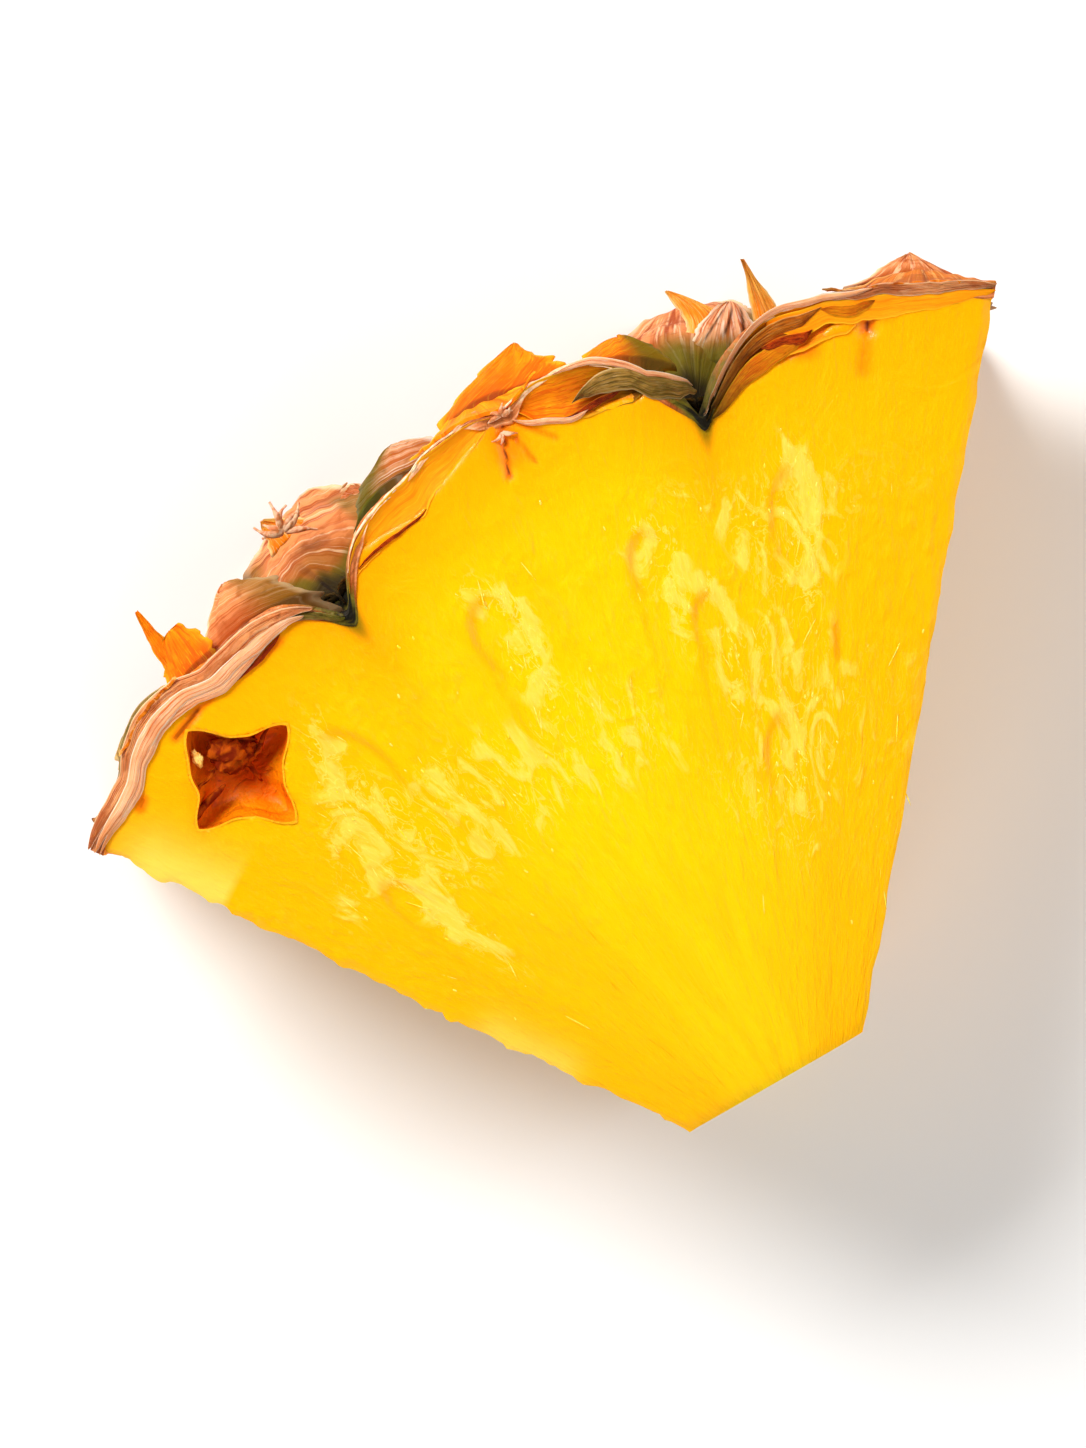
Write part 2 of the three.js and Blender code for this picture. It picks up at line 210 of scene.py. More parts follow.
@dataclass(frozen=True)
class Fruit:
    """The fruit that the wedge was cut from, with the knife's cuts."""

    thickness: float = 24.0
    cut_angle: float = 37.1
    core_cut: float = 9.0
    core_skew: float = 2.7
    axis_to_origin: float = 36.0
    radius: float = 56.8
    fall_per_degree: float = 0.085
    fall_at_rest: float = 0.45
    oval_rise: float = 1.6
    oval_centre: float = 2.0
    oval_span: float = 30.0
    wobble: float = 0.25
    crease_depths: tuple[float, float] = (3.8, 4.7)
    crease_widths: tuple[float, float] = (1.7, 1.15)
    crease_change: tuple[float, float] = (2.0, -14.0)
    crease_rounding: float = 0.7
    eye_dome: float = 1.0
    eye_reach: float = 13.0
    nub_height: float = 0.6
    nub_width: float = 3.2
    bract_thickness: float = 0.5
    bract_length: float = 9.5
    bract_half_width: float = 8.5
    bract_edge: float = 1.1
    eye_pitch: float = 29.85
    row_rise: float = 20.0
    eye_slope: float = 2.0
    first_angle: float = -17.6
    first_height: float = 0.0
    lip_depth: float = 4.0
    gaps: tuple[Gap, ...] = (
        Gap(9.0, -3.6, 24.0, 1.45, 1.9, 3.0, 0.4),
        Gap(-4.9, -14.6, 24.0, 2.0, 2.9, 3.0, 1.8),
        Gap(-18.9, -28.6, 24.0, 2.0, 2.8, 3.6, 1.0),
        Gap(24.0, 14.0, 0.0, 1.6, 2.0, 2.6, 0.6),
        Gap(-20.0, -29.0, 0.0, 1.6, 2.0, 2.6, 0.6),
    )
    cups: tuple[Cup, ...] = (
        Cup(26.8, 49.7, 24.0, 3.8, 0.98, 22.5, 4.8, 0.8),
        Cup(-17.6, 51.6, 0.0, 3.2, 0.9, 60.0, 4.2),
        Cup(12.2, 49.4, 0.0, 2.4, 0.7, 5.0, 2.4),
    )
    pockets: tuple[Pocket, ...] = (
        Pocket(19.9, 43.4, 24.0, 7.5, 3.4, -1.0),
        Pocket(3.1, 44.8, 24.0, 6.0, 3.6),
        Pocket(-11.4, 45.2, 24.0, 5.0, 3.2),
        Pocket(-23.7, 46.9, 24.0, 7.0, 3.0),
        Pocket(-15.4, 40.1, 24.0, 5.0, 2.6),
        Pocket(-20.9, 30.5, 24.0, 6.0, 2.4),
        Pocket(27.4, 34.6, 24.0, 6.0, 2.4),
        Pocket(-8.5, 45.0, 0.0, 6.5, 3.4),
        Pocket(-26.5, 45.6, 0.0, 6.0, 3.0),
        Pocket(21.0, 42.6, 0.0, 7.0, 3.2),
        Pocket(4.5, 41.0, 0.0, 6.0, 2.8),
    )

    def place(self, angle: ndarray, radius: ndarray, height: ndarray) -> ndarray:
        """Turns polar places into points of the frame.

        Args:
            angle: Angles from the bisector.
            radius: Distances from the fruit's axis.
            height: Heights above the resting face.

        Returns:
            One point a row, in millimetres.
        """
        turn = np.radians(angle)
        x = -radius * np.sin(turn)
        y = radius * np.cos(turn) - self.axis_to_origin
        return np.stack(np.broadcast_arrays(x, y, height), axis=-1).astype(float)

    def polar(self, points: ndarray) -> tuple[ndarray, ndarray, ndarray]:
        """The angles, radii and heights of points of the frame, one point a row."""
        x, y = points[:, 0], points[:, 1] + self.axis_to_origin
        return np.degrees(np.arctan2(-x, y)), np.hypot(x, y), points[:, 2]

    def eyes(self) -> ndarray:
        """The angle and height of each eye on and round the slice, one a row.

        Returns:
            One eye a row: its angle and its height.
        """
        centres = []
        for row in range(-1, 3):
            for step in range(-2, 5):
                along = step - row / 2.0
                angle = self.first_angle + along * self.eye_pitch
                centres.append((angle, self.first_height + along * self.eye_slope + row * self.row_rise))
        return np.array(centres)

    def eye_view(self, angle: ndarray, height: ndarray) -> EyeView:
        """Finds the nearest eye to places on the skin.

        Args:
            angle: Angles from the bisector.
            height: Heights above the resting face.

        Returns:
            The places as that eye sees them, with how far each is inside its border.
        """
        eyes = self.eyes()
        aside = self.radius * np.radians(angle[:, None] - eyes[None, :, 0])
        crownward = eyes[None, :, 1] - height[:, None]
        distance = np.hypot(aside, crownward)
        order = np.argsort(distance, axis=1)
        rows = np.arange(len(angle))
        near, next_near = order[:, 0], order[:, 1]
        inside = (distance[rows, next_near] - distance[rows, near]) / 2.0
        return EyeView(near, aside[rows, near], crownward[rows, near], distance[rows, near], inside)

    def bract_cover(self, eye: EyeView) -> ndarray:
        """How far each place lies under its eye's scale, 0 outside it and 1 well inside.

        Args:
            eye: The places as their nearest eye sees them.

        Returns:
            The share of each place.
        """
        along = (eye.crownward + self.bract_length) / (self.bract_length + 1.0)
        half_width = self.bract_half_width * np.sqrt(np.maximum(0.0, 1.0 - along))
        to_edge = np.minimum(half_width - np.abs(eye.aside), (1.0 - along) * self.bract_length)
        return ease(to_edge, -self.bract_edge, self.bract_edge)

    def skin(self, angle: ndarray, height: ndarray, eye: EyeView | None = None) -> ndarray:
        """Radius of the skin.

        Args:
            angle: Angles from the bisector.
            height: Heights above the resting face.
            eye: The same places as their nearest eye sees them, where that is known already.

        Returns:
            The radius at each place.
        """
        eye = eye or self.eye_view(angle, height)
        rise = height / self.thickness
        oval = self.oval_rise * ((angle - self.oval_centre) / self.oval_span) ** 2 * rise
        fall = self.fall_per_degree * angle * (self.fall_at_rest + (1.0 - self.fall_at_rest) * rise)
        wobble = self.wobble * np.sin(angle / 2.3 + height / 3.1) * np.sin(height / 1.9 - angle / 4.7)
        dome = self.eye_dome * np.cos(np.minimum(eye.distance, self.eye_reach) / self.eye_reach * np.pi / 2.0)
        nub = self.nub_height * np.exp(-((eye.distance / self.nub_width) ** 2))
        from_border = np.hypot(eye.inside, self.crease_rounding) - self.crease_rounding
        change = ease(-angle, -self.crease_change[0], -self.crease_change[1])
        crease_depth = self.crease_depths[0] + (self.crease_depths[1] - self.crease_depths[0]) * change
        crease_width = self.crease_widths[0] + (self.crease_widths[1] - self.crease_widths[0]) * change
        crease = crease_depth * np.exp(-from_border / crease_width)
        bract = self.bract_thickness * self.bract_cover(eye)
        flare = np.zeros(angle.shape)
        for gap in self.gaps:
            flare += gap.flare * gap.fullness(angle) * np.exp(-np.abs(gap.height - height) / self.lip_depth)
        return self.radius + oval - fall + wobble + dome + nub + bract + flare - crease

    def core(self, angle: ndarray) -> ndarray:
        """Radius of the straight cut that took the core off."""
        return self.core_cut / np.cos(np.radians(angle - self.core_skew))


@dataclass
class Surface:
    """A closed surface: points in millimetres, faces that look outwards, and named values a point."""

    points: ndarray
    faces: list[Sequence[int]]
    values: dict[str, ndarray] = field(default_factory=dict)

    def piece(self, name: str, material: Material, sharp_angle: float = 50.0) -> Object:
        """Makes the surface an object of the scene.

        Args:
            name: Name of the object.
            material: Finish of all its faces.
            sharp_angle: Edges that bend more than this stay sharp, in degrees.

        Returns:
            The object, at the origin.
        """
        mesh = bpy.data.meshes.new(name)
        mesh.from_pydata((self.points * MM).tolist(), [], self.faces)
        for label, numbers in self.values.items():
            set_values(mesh, label, numbers)
        mesh.materials.append(material)
        mesh.shade_smooth()
        mesh.set_sharp_from_angle(angle=math.radians(sharp_angle))
        made = bpy.data.objects.new(name, mesh)
        bpy.context.scene.collection.objects.link(made)
        return made


def set_values(mesh: Mesh, label: str, numbers: ndarray) -> None:
    """Keeps one number a point on a mesh under a label, for its material to read."""
    layer = mesh.attributes.get(label) or mesh.attributes.new(label, "FLOAT", "POINT")
    layer.data.foreach_set("value", np.asarray(numbers, np.float32))


def points_of(mesh: Mesh) -> ndarray:
    """The points of a mesh in millimetres, one a row.

    Args:
        mesh: The mesh.

    Returns:
        One point a row.
    """
    flat = np.zeros(len(mesh.vertices) * 3, np.float32)
    mesh.vertices.foreach_get("co", flat)
    return flat.reshape(-1, 3).astype(float) / MM


def settle(piece: Object) -> Object:
    """Turns what a piece's modifiers make into its plain mesh.

    Args:
        piece: An object with modifiers.

    Returns:
        The same object, without modifiers.
    """
    graph = bpy.context.evaluated_depsgraph_get()
    made = bpy.data.meshes.new_from_object(piece.evaluated_get(graph))
    before = piece.data
    piece.modifiers.clear()
    piece.data = made
    bpy.data.meshes.remove(before)
    made.name = piece.name
    return piece


def dress(piece: Object) -> Object:
    """Hangs a finished piece on the root body and hides the imported part that it stands for.

    Args:
        piece: The finished piece.

    Returns:
        The same piece.
    """
    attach(piece, "root")
    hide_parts(NODE)
    LOG.info("%s: %d faces", piece.name, len(piece.data.polygons))
    return piece


def box_lattice(across: int, along: int, up: int) -> tuple[ndarray, list[list[int]]]:
    """Makes the surface of a box of small cells.

    Args:
        across: Cells along the first axis.
        along: Cells along the second axis.
        up: Cells along the third axis.

    Returns:
        The surface's points, 0 to 1 on each axis, and its quads that look outwards.
    """
    steps = (across, along, up)
    outer = np.ones([s + 1 for s in steps], bool)
    outer[1:-1, 1:-1, 1:-1] = False
    index = np.full(outer.shape, -1)
    index[outer] = np.arange(outer.sum())
    points = np.argwhere(outer) / np.array(steps, float)
    quads = []
    for axis in range(3):
        for last in (False, True):
            side = index.take(-1 if last else 0, axis=axis)
            ring = [side[:-1, :-1], side[1:, :-1], side[1:, 1:], side[:-1, 1:]]
            if last == (axis == 1):
                ring.reverse()
            quads.append(np.stack(ring, axis=-1).reshape(-1, 4))
    return points, np.concatenate(quads).tolist()


def gathered(share: ndarray, power: float) -> ndarray:
    """Moves evenly spread shares towards both ends, so that the cells there are finer."""
    side = 2.0 * share - 1.0
    return 0.5 + 0.5 * np.sign(side) * (1.0 - (1.0 - np.abs(side)) ** power)


class Nodes:
    """A tree of nodes, with calls that add a node and fill its inputs."""

    def __init__(self, tree: NodeTree) -> None:
        """Keeps the tree that the nodes go into."""
        self.tree = tree

    def fill(self, node: Node, inputs: dict[str | int, object]) -> None:
        """Links sockets to a node's inputs, by name or number, or sets the inputs to constants.

        Args:
            node: The node.
            inputs: A socket or a constant for each input, by name or number.
        """
        for name, value in inputs.items():
            if isinstance(value, NodeSocket):
                self.tree.links.new(value, node.inputs[name])
            else:
                node.inputs[name].default_value = value

    def node(self, kind: str, inputs: dict[str | int, object] | None = None, **settings: object) -> Node:
        """Adds a node.

        Args:
            kind: The node's type.
            inputs: Sockets or constants for its inputs, by name or number.
            settings: Its own settings.

        Returns:
            The node.
        """
        made = self.tree.nodes.new(kind)
        for name, value in settings.items():
            setattr(made, name, value)
        self.fill(made, inputs or {})
        return made

    def out(self, kind: str, inputs: dict[str | int, object] | None = None, **settings: object) -> NodeSocket:
        """Adds a node as node does and gives its first output."""
        return self.node(kind, inputs, **settings).outputs[0]


@dataclass(frozen=True)
class Pattern:
    """A noise on the fruit: its bumps a millimetre round it, outwards and up, its octaves and its swirl."""

    pace: tuple[float, float, float]
    octaves: float = 4.0
    swirl: float = 0.6


class Graph(Nodes):
    """A material's nodes, with a short call for each kind that the finishes use."""

    def __init__(self, name: str) -> None:
        """Starts a material of that name.

        Args:
            name: Name of the material.
        """
        self.material = bpy.data.materials.new(name)
        self.material.use_nodes = True
        super().__init__(self.material.node_tree)
        self.shader = self.tree.nodes["Principled BSDF"]

    def shade(self, **values: object) -> None:
        """Sets the shader's sockets: an underscore in a name stands for a space."""
        self.fill(self.shader, {name.replace("_", " "): value for name, value in values.items()})

    def attribute(self, name: str) -> NodeSocket:
        """The number that the mesh keeps under a name."""
        return self.node("ShaderNodeAttribute", attribute_name=name).outputs["Fac"]

    def math(self, operation: str, *values: object) -> NodeSocket:
        """Works out one number from others."""
        return self.out("ShaderNodeMath", dict(enumerate(values)), operation=operation)

    def span(self, value: object, low: float, high: float) -> NodeSocket:
        """Eases a number to 0 at low and 1 at high; low may be the larger one."""
        inputs = {"Value": value, "From Min": low, "From Max": high}
        return self.out("ShaderNodeMapRange", inputs, interpolation_type="SMOOTHSTEP")

    def part(self, value: object, low: float, high: float, share: float) -> NodeSocket:
        """Eases a number as span does, up to a share instead of 1."""
        return self.math("MULTIPLY", self.span(value, low, high), share)

    def contour(self, value: object, level: float, width: float) -> NodeSocket:
        """A line where a number passes a level: 1 on it and 0 further off than the width."""
        return self.span(self.math("ABSOLUTE", self.math("SUBTRACT", value, level)), width, width / 4.0)

    def mix(self, share: object, first: object, second: object) -> NodeSocket:
        """Mixes two colours: the share, 0 to 1, is how much of the second one shows."""
        return self.node("ShaderNodeMix", {0: share, 6: first, 7: second}, data_type="RGBA").outputs[2]

    def tints(self, colour: object, layers: Sequence[tuple[object, object]]) -> NodeSocket:
        """Lays colours over each other, each with the share of it that shows.

        Args:
            colour: The lowest colour.
            layers: The share and the colour of each layer, from the lowest up.

        Returns:
            The colour that shows.
        """
        for share, tint in layers:
            colour = self.mix(share, colour, tint)
        return colour

    def ramp(self, value: object, stops: Sequence[tuple[float, Colour]]) -> NodeSocket:
        """Reads a colour off a ramp.

        Args:
            value: Where to read, 0 to 1.
            stops: Places and colours of the stops.

        Returns:
            The colour's socket.
        """
        node = self.node("ShaderNodeValToRGB", {"Fac": value})
        elements = node.color_ramp.elements
        while len(elements) < len(stops):
            elements.new(1.0)
        for element, (place, colour) in zip(elements, stops):
            element.position, element.color = place, colour
        return node.outputs["Color"]

    def vector(self, *parts: object) -> NodeSocket:
        """Joins three numbers to a vector."""
        return self.out("ShaderNodeCombineXYZ", dict(enumerate(parts)))

    def stretched(self, place: Sequence[object], scales: Sequence[float]) -> NodeSocket:
        """Joins three coordinates to a vector, each scaled by its own factor."""
        return self.vector(*[self.math("MULTIPLY", p, s) for p, s in zip(place, scales)])

    def noise(self, place: object, octaves: float, swirl: float = 0.0, scale: float = 1.0) -> NodeSocket:
        """Reads smooth noise, about 0.5 on average, with finer octaves added and its bumps swirled."""
        inputs = {"Vector": place, "Scale": scale, "Detail": octaves, "Distortion": swirl}
        return self.node("ShaderNodeTexNoise", inputs).outputs["Fac"]

    def pattern(self, place: Sequence[object], pattern: Pattern) -> NodeSocket:
        """Reads a pattern at a place on the fruit."""
        return self.noise(self.stretched(place, pattern.pace), pattern.octaves, pattern.swirl)

    def cells(self, place: Sequence[object], pace: Sequence[float]) -> NodeSocket:
        """Reads how far a place is from the nearest of scattered points, a pace of them a millimetre."""
        return self.out("ShaderNodeTexVoronoi", {"Vector": self.stretched(place, pace), "Scale": 1.0})

    def fruit_place(self, fruit: Fruit) -> tuple[NodeSocket, NodeSocket, NodeSocket]:
        """Works out the polar place in millimetres from the piece's own coordinates.

        Args:
            fruit: The fruit, whose axis the place is measured from.

        Returns:
            The place round the fruit, as an arc at mid radius, the radius and the height.
        """
        source = self.node("ShaderNodeTexCoord").outputs["Object"]
        parts = self.node("ShaderNodeSeparateXYZ", {0: source}).outputs
        x = self.math("MULTIPLY", parts[0], 1.0 / MM)
        y = self.math("MULTIPLY_ADD", parts[1], 1.0 / MM, fruit.axis_to_origin)
        z = self.math("MULTIPLY", parts[2], 1.0 / MM)
        radius = self.math("SQRT", self.math("ADD", self.math("MULTIPLY", x, x), self.math("MULTIPLY", y, y)))
        return self.math("MULTIPLY", self.math("ARCTAN2", x, y), MID_RADIUS), radius, z

    def bump(self, layers: Sequence[tuple[object, float]]) -> NodeSocket:
        """Raises the surface a little by noise.

        Args:
            layers: Heights and how many millimetres each stands for.

        Returns:
            The bent normal's socket.
        """
        below: dict[str, object] = {}
        for height, size in layers:
            raised = {"Strength": 1.0, "Distance": size * MM, "Height": height, **below}
            below = {"Normal": self.out("ShaderNodeBump", raised)}
        return below["Normal"]


@dataclass(frozen=True)
class FleshFinish:
    """Wet cut flesh: saturated yellow, deeper near the rind, with painted sheen (pale patches, lines and glints) round
    the pockets and painted shade in their folds.
    """

    near_rind: Colour = srgb(255, 150, 0)
    under_rind: Colour = srgb(255, 168, 0)
    body: Colour = srgb(255, 196, 0)
    core: Colour = srgb(255, 203, 0)
    streak: Colour = srgb(255, 174, 0)
    # pale: the flesh's pale tissue and side fibres, and also the painted sheen and glints of the wet surface
    pale: Colour = srgb(255, 218, 92)
    # fold: painted shade on the shaded side of each pocket and along its groove
    fold: Colour = srgb(255, 172, 0)
    stain: Colour = srgb(248, 128, 3)
    scar: Colour = srgb(112, 34, 4)
    green: Colour = srgb(112, 100, 8)
    gap_wall: Colour = srgb(250, 138, 6)
    broad: Pattern = Pattern((0.2, 0.07, 0.15), 3.0, 0.6)
    fibres: Pattern = Pattern((1.3, 0.11, 0.4), 4.0, 0.4)
    fine: Pattern = Pattern((4.0, 0.8, 1.6), 3.0, 0.3)
    swirl: Pattern = Pattern((0.4, 0.2, 0.3), 5.0, 1.9)
    curl: Pattern = Pattern((0.62, 0.24, 0.4), 3.0, 2.6)
    lengthwise: Pattern = Pattern((1.0, 0.07, 0.9), 5.0, 0.9)
    # pace of the painted glints: pale specks that stand for reflections off the wet flesh
    painted_glints: tuple[float, float, float] = (1.1, 0.7, 0.9)
    broad_share: float = 0.28
    fibre_share: float = 0.09
    side_share: float = 0.72
    # level where the painted sheen's pale edge lines run
    sheen_edge: float = 0.63
    roughness: float = 0.32

    def material(self, fruit: Fruit) -> Material:
        """Makes the material.

        Args:
            fruit: The fruit, whose fibres run out from its axis.

        Returns:
            The material.
        """
        g = Graph("wet_flesh")
        place = g.fruit_place(fruit)
        patterns = (self.broad, self.fibres, self.fine, self.swirl, self.curl, self.lengthwise)
        broad, fibres, fine, swirl, curl, lengthwise = [g.pattern(place, pattern) for pattern in patterns]
        moist, stain, side = g.attribute("moist"), g.attribute("stain"), g.attribute("side")
        depth = g.math("MULTIPLY", g.attribute("depth"), 1.0 / fruit.thickness)
        ripeness = g.ramp(depth, [(0.0, self.near_rind), (0.12, self.under_rind), (0.38, self.body), (1.0, self.core)])

        # Painted sheen: pale patches, edge lines, curled lines and specks that stand for reflections off the wet
        # surface.
        wet = g.math("MULTIPLY_ADD", moist, 0.2, swirl)
        patch = g.math("MULTIPLY", g.span(wet, 0.62, 0.7), g.span(moist, 0.02, 0.3))
        patch = g.math("MULTIPLY", patch, g.math("MULTIPLY_ADD", fine, 0.8, 0.16))
        edge = g.math("MULTIPLY", g.contour(wet, self.sheen_edge, 0.012), 0.8)
        line = g.math("MAXIMUM", g.contour(curl, 0.5, 0.016), edge)
        line = g.math("MULTIPLY", line, g.math("MULTIPLY", moist, 0.9))
        painted_glints = g.math("MULTIPLY", g.span(g.cells(place, self.painted_glints), 0.17, 0.1), g.math("MULTIPLY", moist, 0.8))
        layers = [
            (g.part(broad, 0.42, 0.66, self.broad_share), self.streak),
            (g.part(fibres, 0.5, 0.68, self.fibre_share), self.streak),
            (g.part(g.math("ABSOLUTE", place[0]), 2.0, 24.0, self.side_share), self.streak),
            (patch, self.pale),
            (line, self.pale),
            (painted_glints, self.pale),
            (g.attribute("pale"), self.pale),
            (g.math("MULTIPLY", g.span(lengthwise, 0.44, 0.7), g.math("MULTIPLY", side, 0.34)), self.pale),
            (g.math("MULTIPLY", g.span(lengthwise, 0.46, 0.32), g.math("MULTIPLY", side, 0.2)), self.near_rind),
            # painted shade in the pockets' folds
            (g.attribute("arch"), self.fold),
            (g.attribute("green"), self.green),
            (g.span(stain, 0.0, 0.7), self.stain),
            (g.span(stain, 0.62, 1.0), self.scar),
            (g.attribute("gap"), self.gap_wall),
        ]
        g.shade(Base_Color=g.tints(ripeness, layers), Roughness=self.roughness)
        g.shade(Subsurface_Weight=0.3, Subsurface_Scale=0.0022, Subsurface_Radius=(1.0, 0.55, 0.12))
        g.shade(Specular_IOR_Level=0.1, Coat_Weight=0.08, Coat_Roughness=0.06)
        g.shade(Normal=g.bump([(fibres, 0.07), (fine, 0.08), (swirl, 0.2)]))
        return g.material


@dataclass(frozen=True)
class RindFinish:
    """Dry rind: salmon brown domes with olive flanks and near-black creases."""

    crease: Colour = srgb(20, 15, 3)
    olive: Colour = srgb(104, 92, 20)
    brown: Colour = srgb(150, 70, 18)
    salmon: Colour = srgb(212, 124, 68)
    orange: Colour = srgb(222, 116, 20)
    cream: Colour = srgb(255, 214, 168)
    inner: Colour = srgb(250, 150, 12)
    grey: Colour = srgb(116, 88, 74)
    patches: Pattern = Pattern((0.35, 0.35, 0.35), 4.0, 0.6)
    weathering: Pattern = Pattern((1.9, 1.2, 0.55), 5.0, 0.7)
    specks: tuple[float, float, float] = (1.5, 1.5, 1.5)

    def material(self, fruit: Fruit) -> Material:
        """Makes the material.

        Args:
            fruit: The fruit, whose skin the pattern follows.

        Returns:
            The material.
        """
        g = Graph("dry_rind")
        place = g.fruit_place(fruit)
        patch, rough = g.pattern(place, self.patches), g.pattern(place, self.weathering)
        speck = g.cells(place, self.specks)
        dome = [
            (g.span(patch, 0.42, 0.62), self.orange),
            (g.part(rough, 0.46, 0.62, 0.85), self.brown),
            (g.part(rough, 0.44, 0.34, 0.5), self.cream),
        ]
        jagged = g.math("MULTIPLY_ADD", g.math("SUBTRACT", rough, 0.5), 3.0, g.attribute("inside"))
        flank = g.mix(g.span(jagged, 0.9, 3.2), self.olive, g.tints(self.salmon, dome))
        layer = g.math("MULTIPLY", g.attribute("layer"), 3.0)
        strand = g.noise(g.vector(g.math("MULTIPLY", place[0], 0.3), layer, place[2]), 4.0, 0.3)
        tone = g.math("MULTIPLY_ADD", g.math("SUBTRACT", strand, 0.5), 0.9, g.attribute("tone"))
        stops = [(0.04, self.crease), (0.2, self.olive), (0.42, self.brown), (0.66, self.salmon), (0.95, self.cream)]
        layers = [
            (g.span(jagged, 0.1, 0.9), flank),
            (g.part(speck, 0.22, 0.12, 0.5), self.grey),
            (g.attribute("lining"), self.inner),
            (g.attribute("cut_edge"), g.ramp(tone, stops)),
        ]
        g.shade(Base_Color=g.tints(self.crease, layers), Roughness=0.65, Specular_IOR_Level=0.12)
        g.shade(Subsurface_Weight=0.1, Subsurface_Scale=0.001, Normal=g.bump([(rough, 0.5), (speck, 0.12)]))
        return g.material


@dataclass(frozen=True)
class LeafFinish:
    """Dry papery scale or leaf: veined along its length, pale at its margin."""

    name: str
    body: Colour
    vein: Colour
    margin: Colour
    base: Colour
    green: Colour = srgb(84, 84, 4)
    # dark: darker roots and borders, and painted shadow in the slits between folds
    dark: Colour = srgb(34, 20, 4)
    grain: Pattern = Pattern((1.3, 1.3, 1.3), 4.0, 0.5)
    broad: Pattern = Pattern((0.42, 0.42, 0.42), 3.0, 0.8)
    translucence: float = 0.25
    blotch: float = 0.5
    relief: float = 1.0
    lines: float = 9.0
    finer: float = 2.9

    def material(self, fruit: Fruit) -> Material:
        """Makes the material.

        Args:
            fruit: The fruit, whose skin the fine grain follows.

        Returns:
            The material.
        """
        g = Graph(self.name)
        place = g.fruit_place(fruit)
        across, along, vein, tint = [g.attribute(name) for name in ("across", "along", "vein", "tint")]
        lines, fine = [
            g.noise(g.vector(g.math("MULTIPLY", vein, count), g.math("MULTIPLY", along, pace), tint), 3.0, swirl)
            for count, pace, swirl in ((self.lines, 1.1, 0.4), (self.finer * self.lines, 3.0, 0.2))
        ]
        grain, broad = g.pattern(place, self.grain), g.pattern(place, self.broad)
        layers = [
            (g.span(along, 0.0, 0.55), self.body),
            (g.span(lines, 0.5, 0.64), self.vein),
            (g.part(fine, 0.54, 0.66, 0.6), self.margin),
            (g.part(grain, 0.52, 0.68, self.blotch), self.base),
            (g.part(broad, 0.48, 0.62, self.blotch), self.vein),
            (g.part(g.math("ABSOLUTE", across), 0.82, 0.97, 0.85), self.margin),
            (g.attribute("green"), self.green),
            (g.attribute("dark"), self.dark),
        ]
        g.shade(Base_Color=g.tints(self.base, layers), Roughness=0.65, Specular_IOR_Level=0.1)
        g.shade(Subsurface_Weight=self.translucence, Subsurface_Scale=0.0012, Subsurface_Radius=(1.0, 0.4, 0.15))
        g.shade(Normal=g.bump([(lines, 0.22 * self.relief), (fine, 0.12 * self.relief), (grain, 0.15 * self.relief)]))
        return g.material


@dataclass(frozen=True)
class CupFinish:
    """Smooth waxy wall of an opened flower cup: a yellow rim and brown hatch lines, with painted light and shade:
    brighter orange on the side that faces the key light, darker on the other side and deeper down.
    """

    rim: Colour = srgb(255, 172, 14)
    # wall: painted light, the brighter orange of the side that faces the key light
    wall: Colour = srgb(255, 140, 2)
    # painted shade: the darker wall on the side away from the key light
    shaded_wall: Colour = srgb(240, 112, 2)
    # deep: painted shade, darker deeper down in the cup
    deep: Colour = srgb(228, 100, 0)
    hatch: Colour = srgb(160, 52, 0)
    grain: Pattern = Pattern((1.6, 1.6, 1.0), 4.0, 0.8)

    def material(self, fruit: Fruit) -> Material:
        """Makes the material.

        Args:
            fruit: The fruit, whose flesh the cup is in.

        Returns:
            The material.
        """
        g = Graph("flower_cup_wall")
        grain, sunk = g.pattern(g.fruit_place(fruit), self.grain), g.attribute("sunk")
        lines = g.noise(g.vector(g.attribute("around"), g.math("MULTIPLY", sunk, 3.4), 0.0), 2.0, 0.3)
        # The first two layers are painted light and shade: orange where the wall faces the key light, darker deeper
        # down.
        layers = [
            (g.span(g.attribute("lit"), -0.1, 0.7), self.wall),
            (g.part(sunk, 0.45, 1.0, 0.8), self.deep),
            (g.part(lines, 0.54, 0.64, 0.5), self.hatch),
            (g.part(grain, 0.62, 0.72, 0.5), self.hatch),
            (g.span(sunk, 0.06, 0.015), self.rim),
        ]
        g.shade(Base_Color=g.tints(self.shaded_wall, layers), Roughness=0.5, Specular_IOR_Level=0.12)
        g.shade(Subsurface_Weight=0.15, Subsurface_Scale=0.001, Coat_Weight=0.05, Coat_Roughness=0.2)
        g.shade(Normal=g.bump([(lines, 0.25), (grain, 0.2)]))
        return g.material


@dataclass(frozen=True)
class GrainFinish:
    """A small thing of one kind of stuff, mottled by fine noise."""

    name: str
    first: Colour
    second: Colour
    roughness: float
    coat: float = 0.0
    translucence: float = 0.0
    grain: float = 1.5
    specular: float = 0.4

    def material(self, fruit: Fruit) -> Material:
        """Makes the material.

        Args:
            fruit: The fruit, whose axis the grain is measured from.

        Returns:
            The material.
        """
        g = Graph(self.name)
        mottle = g.pattern(g.fruit_place(fruit), Pattern((self.grain, self.grain, self.grain)))
        g.shade(Base_Color=g.mix(g.span(mottle, 0.4, 0.62), self.first, self.second), Roughness=self.roughness)
        g.shade(Coat_Weight=self.coat, Coat_Roughness=0.05, Specular_IOR_Level=self.specular)
        g.shade(Subsurface_Weight=self.translucence, Subsurface_Scale=0.001, Normal=g.bump([(mottle, 0.1)]))
        return g.material


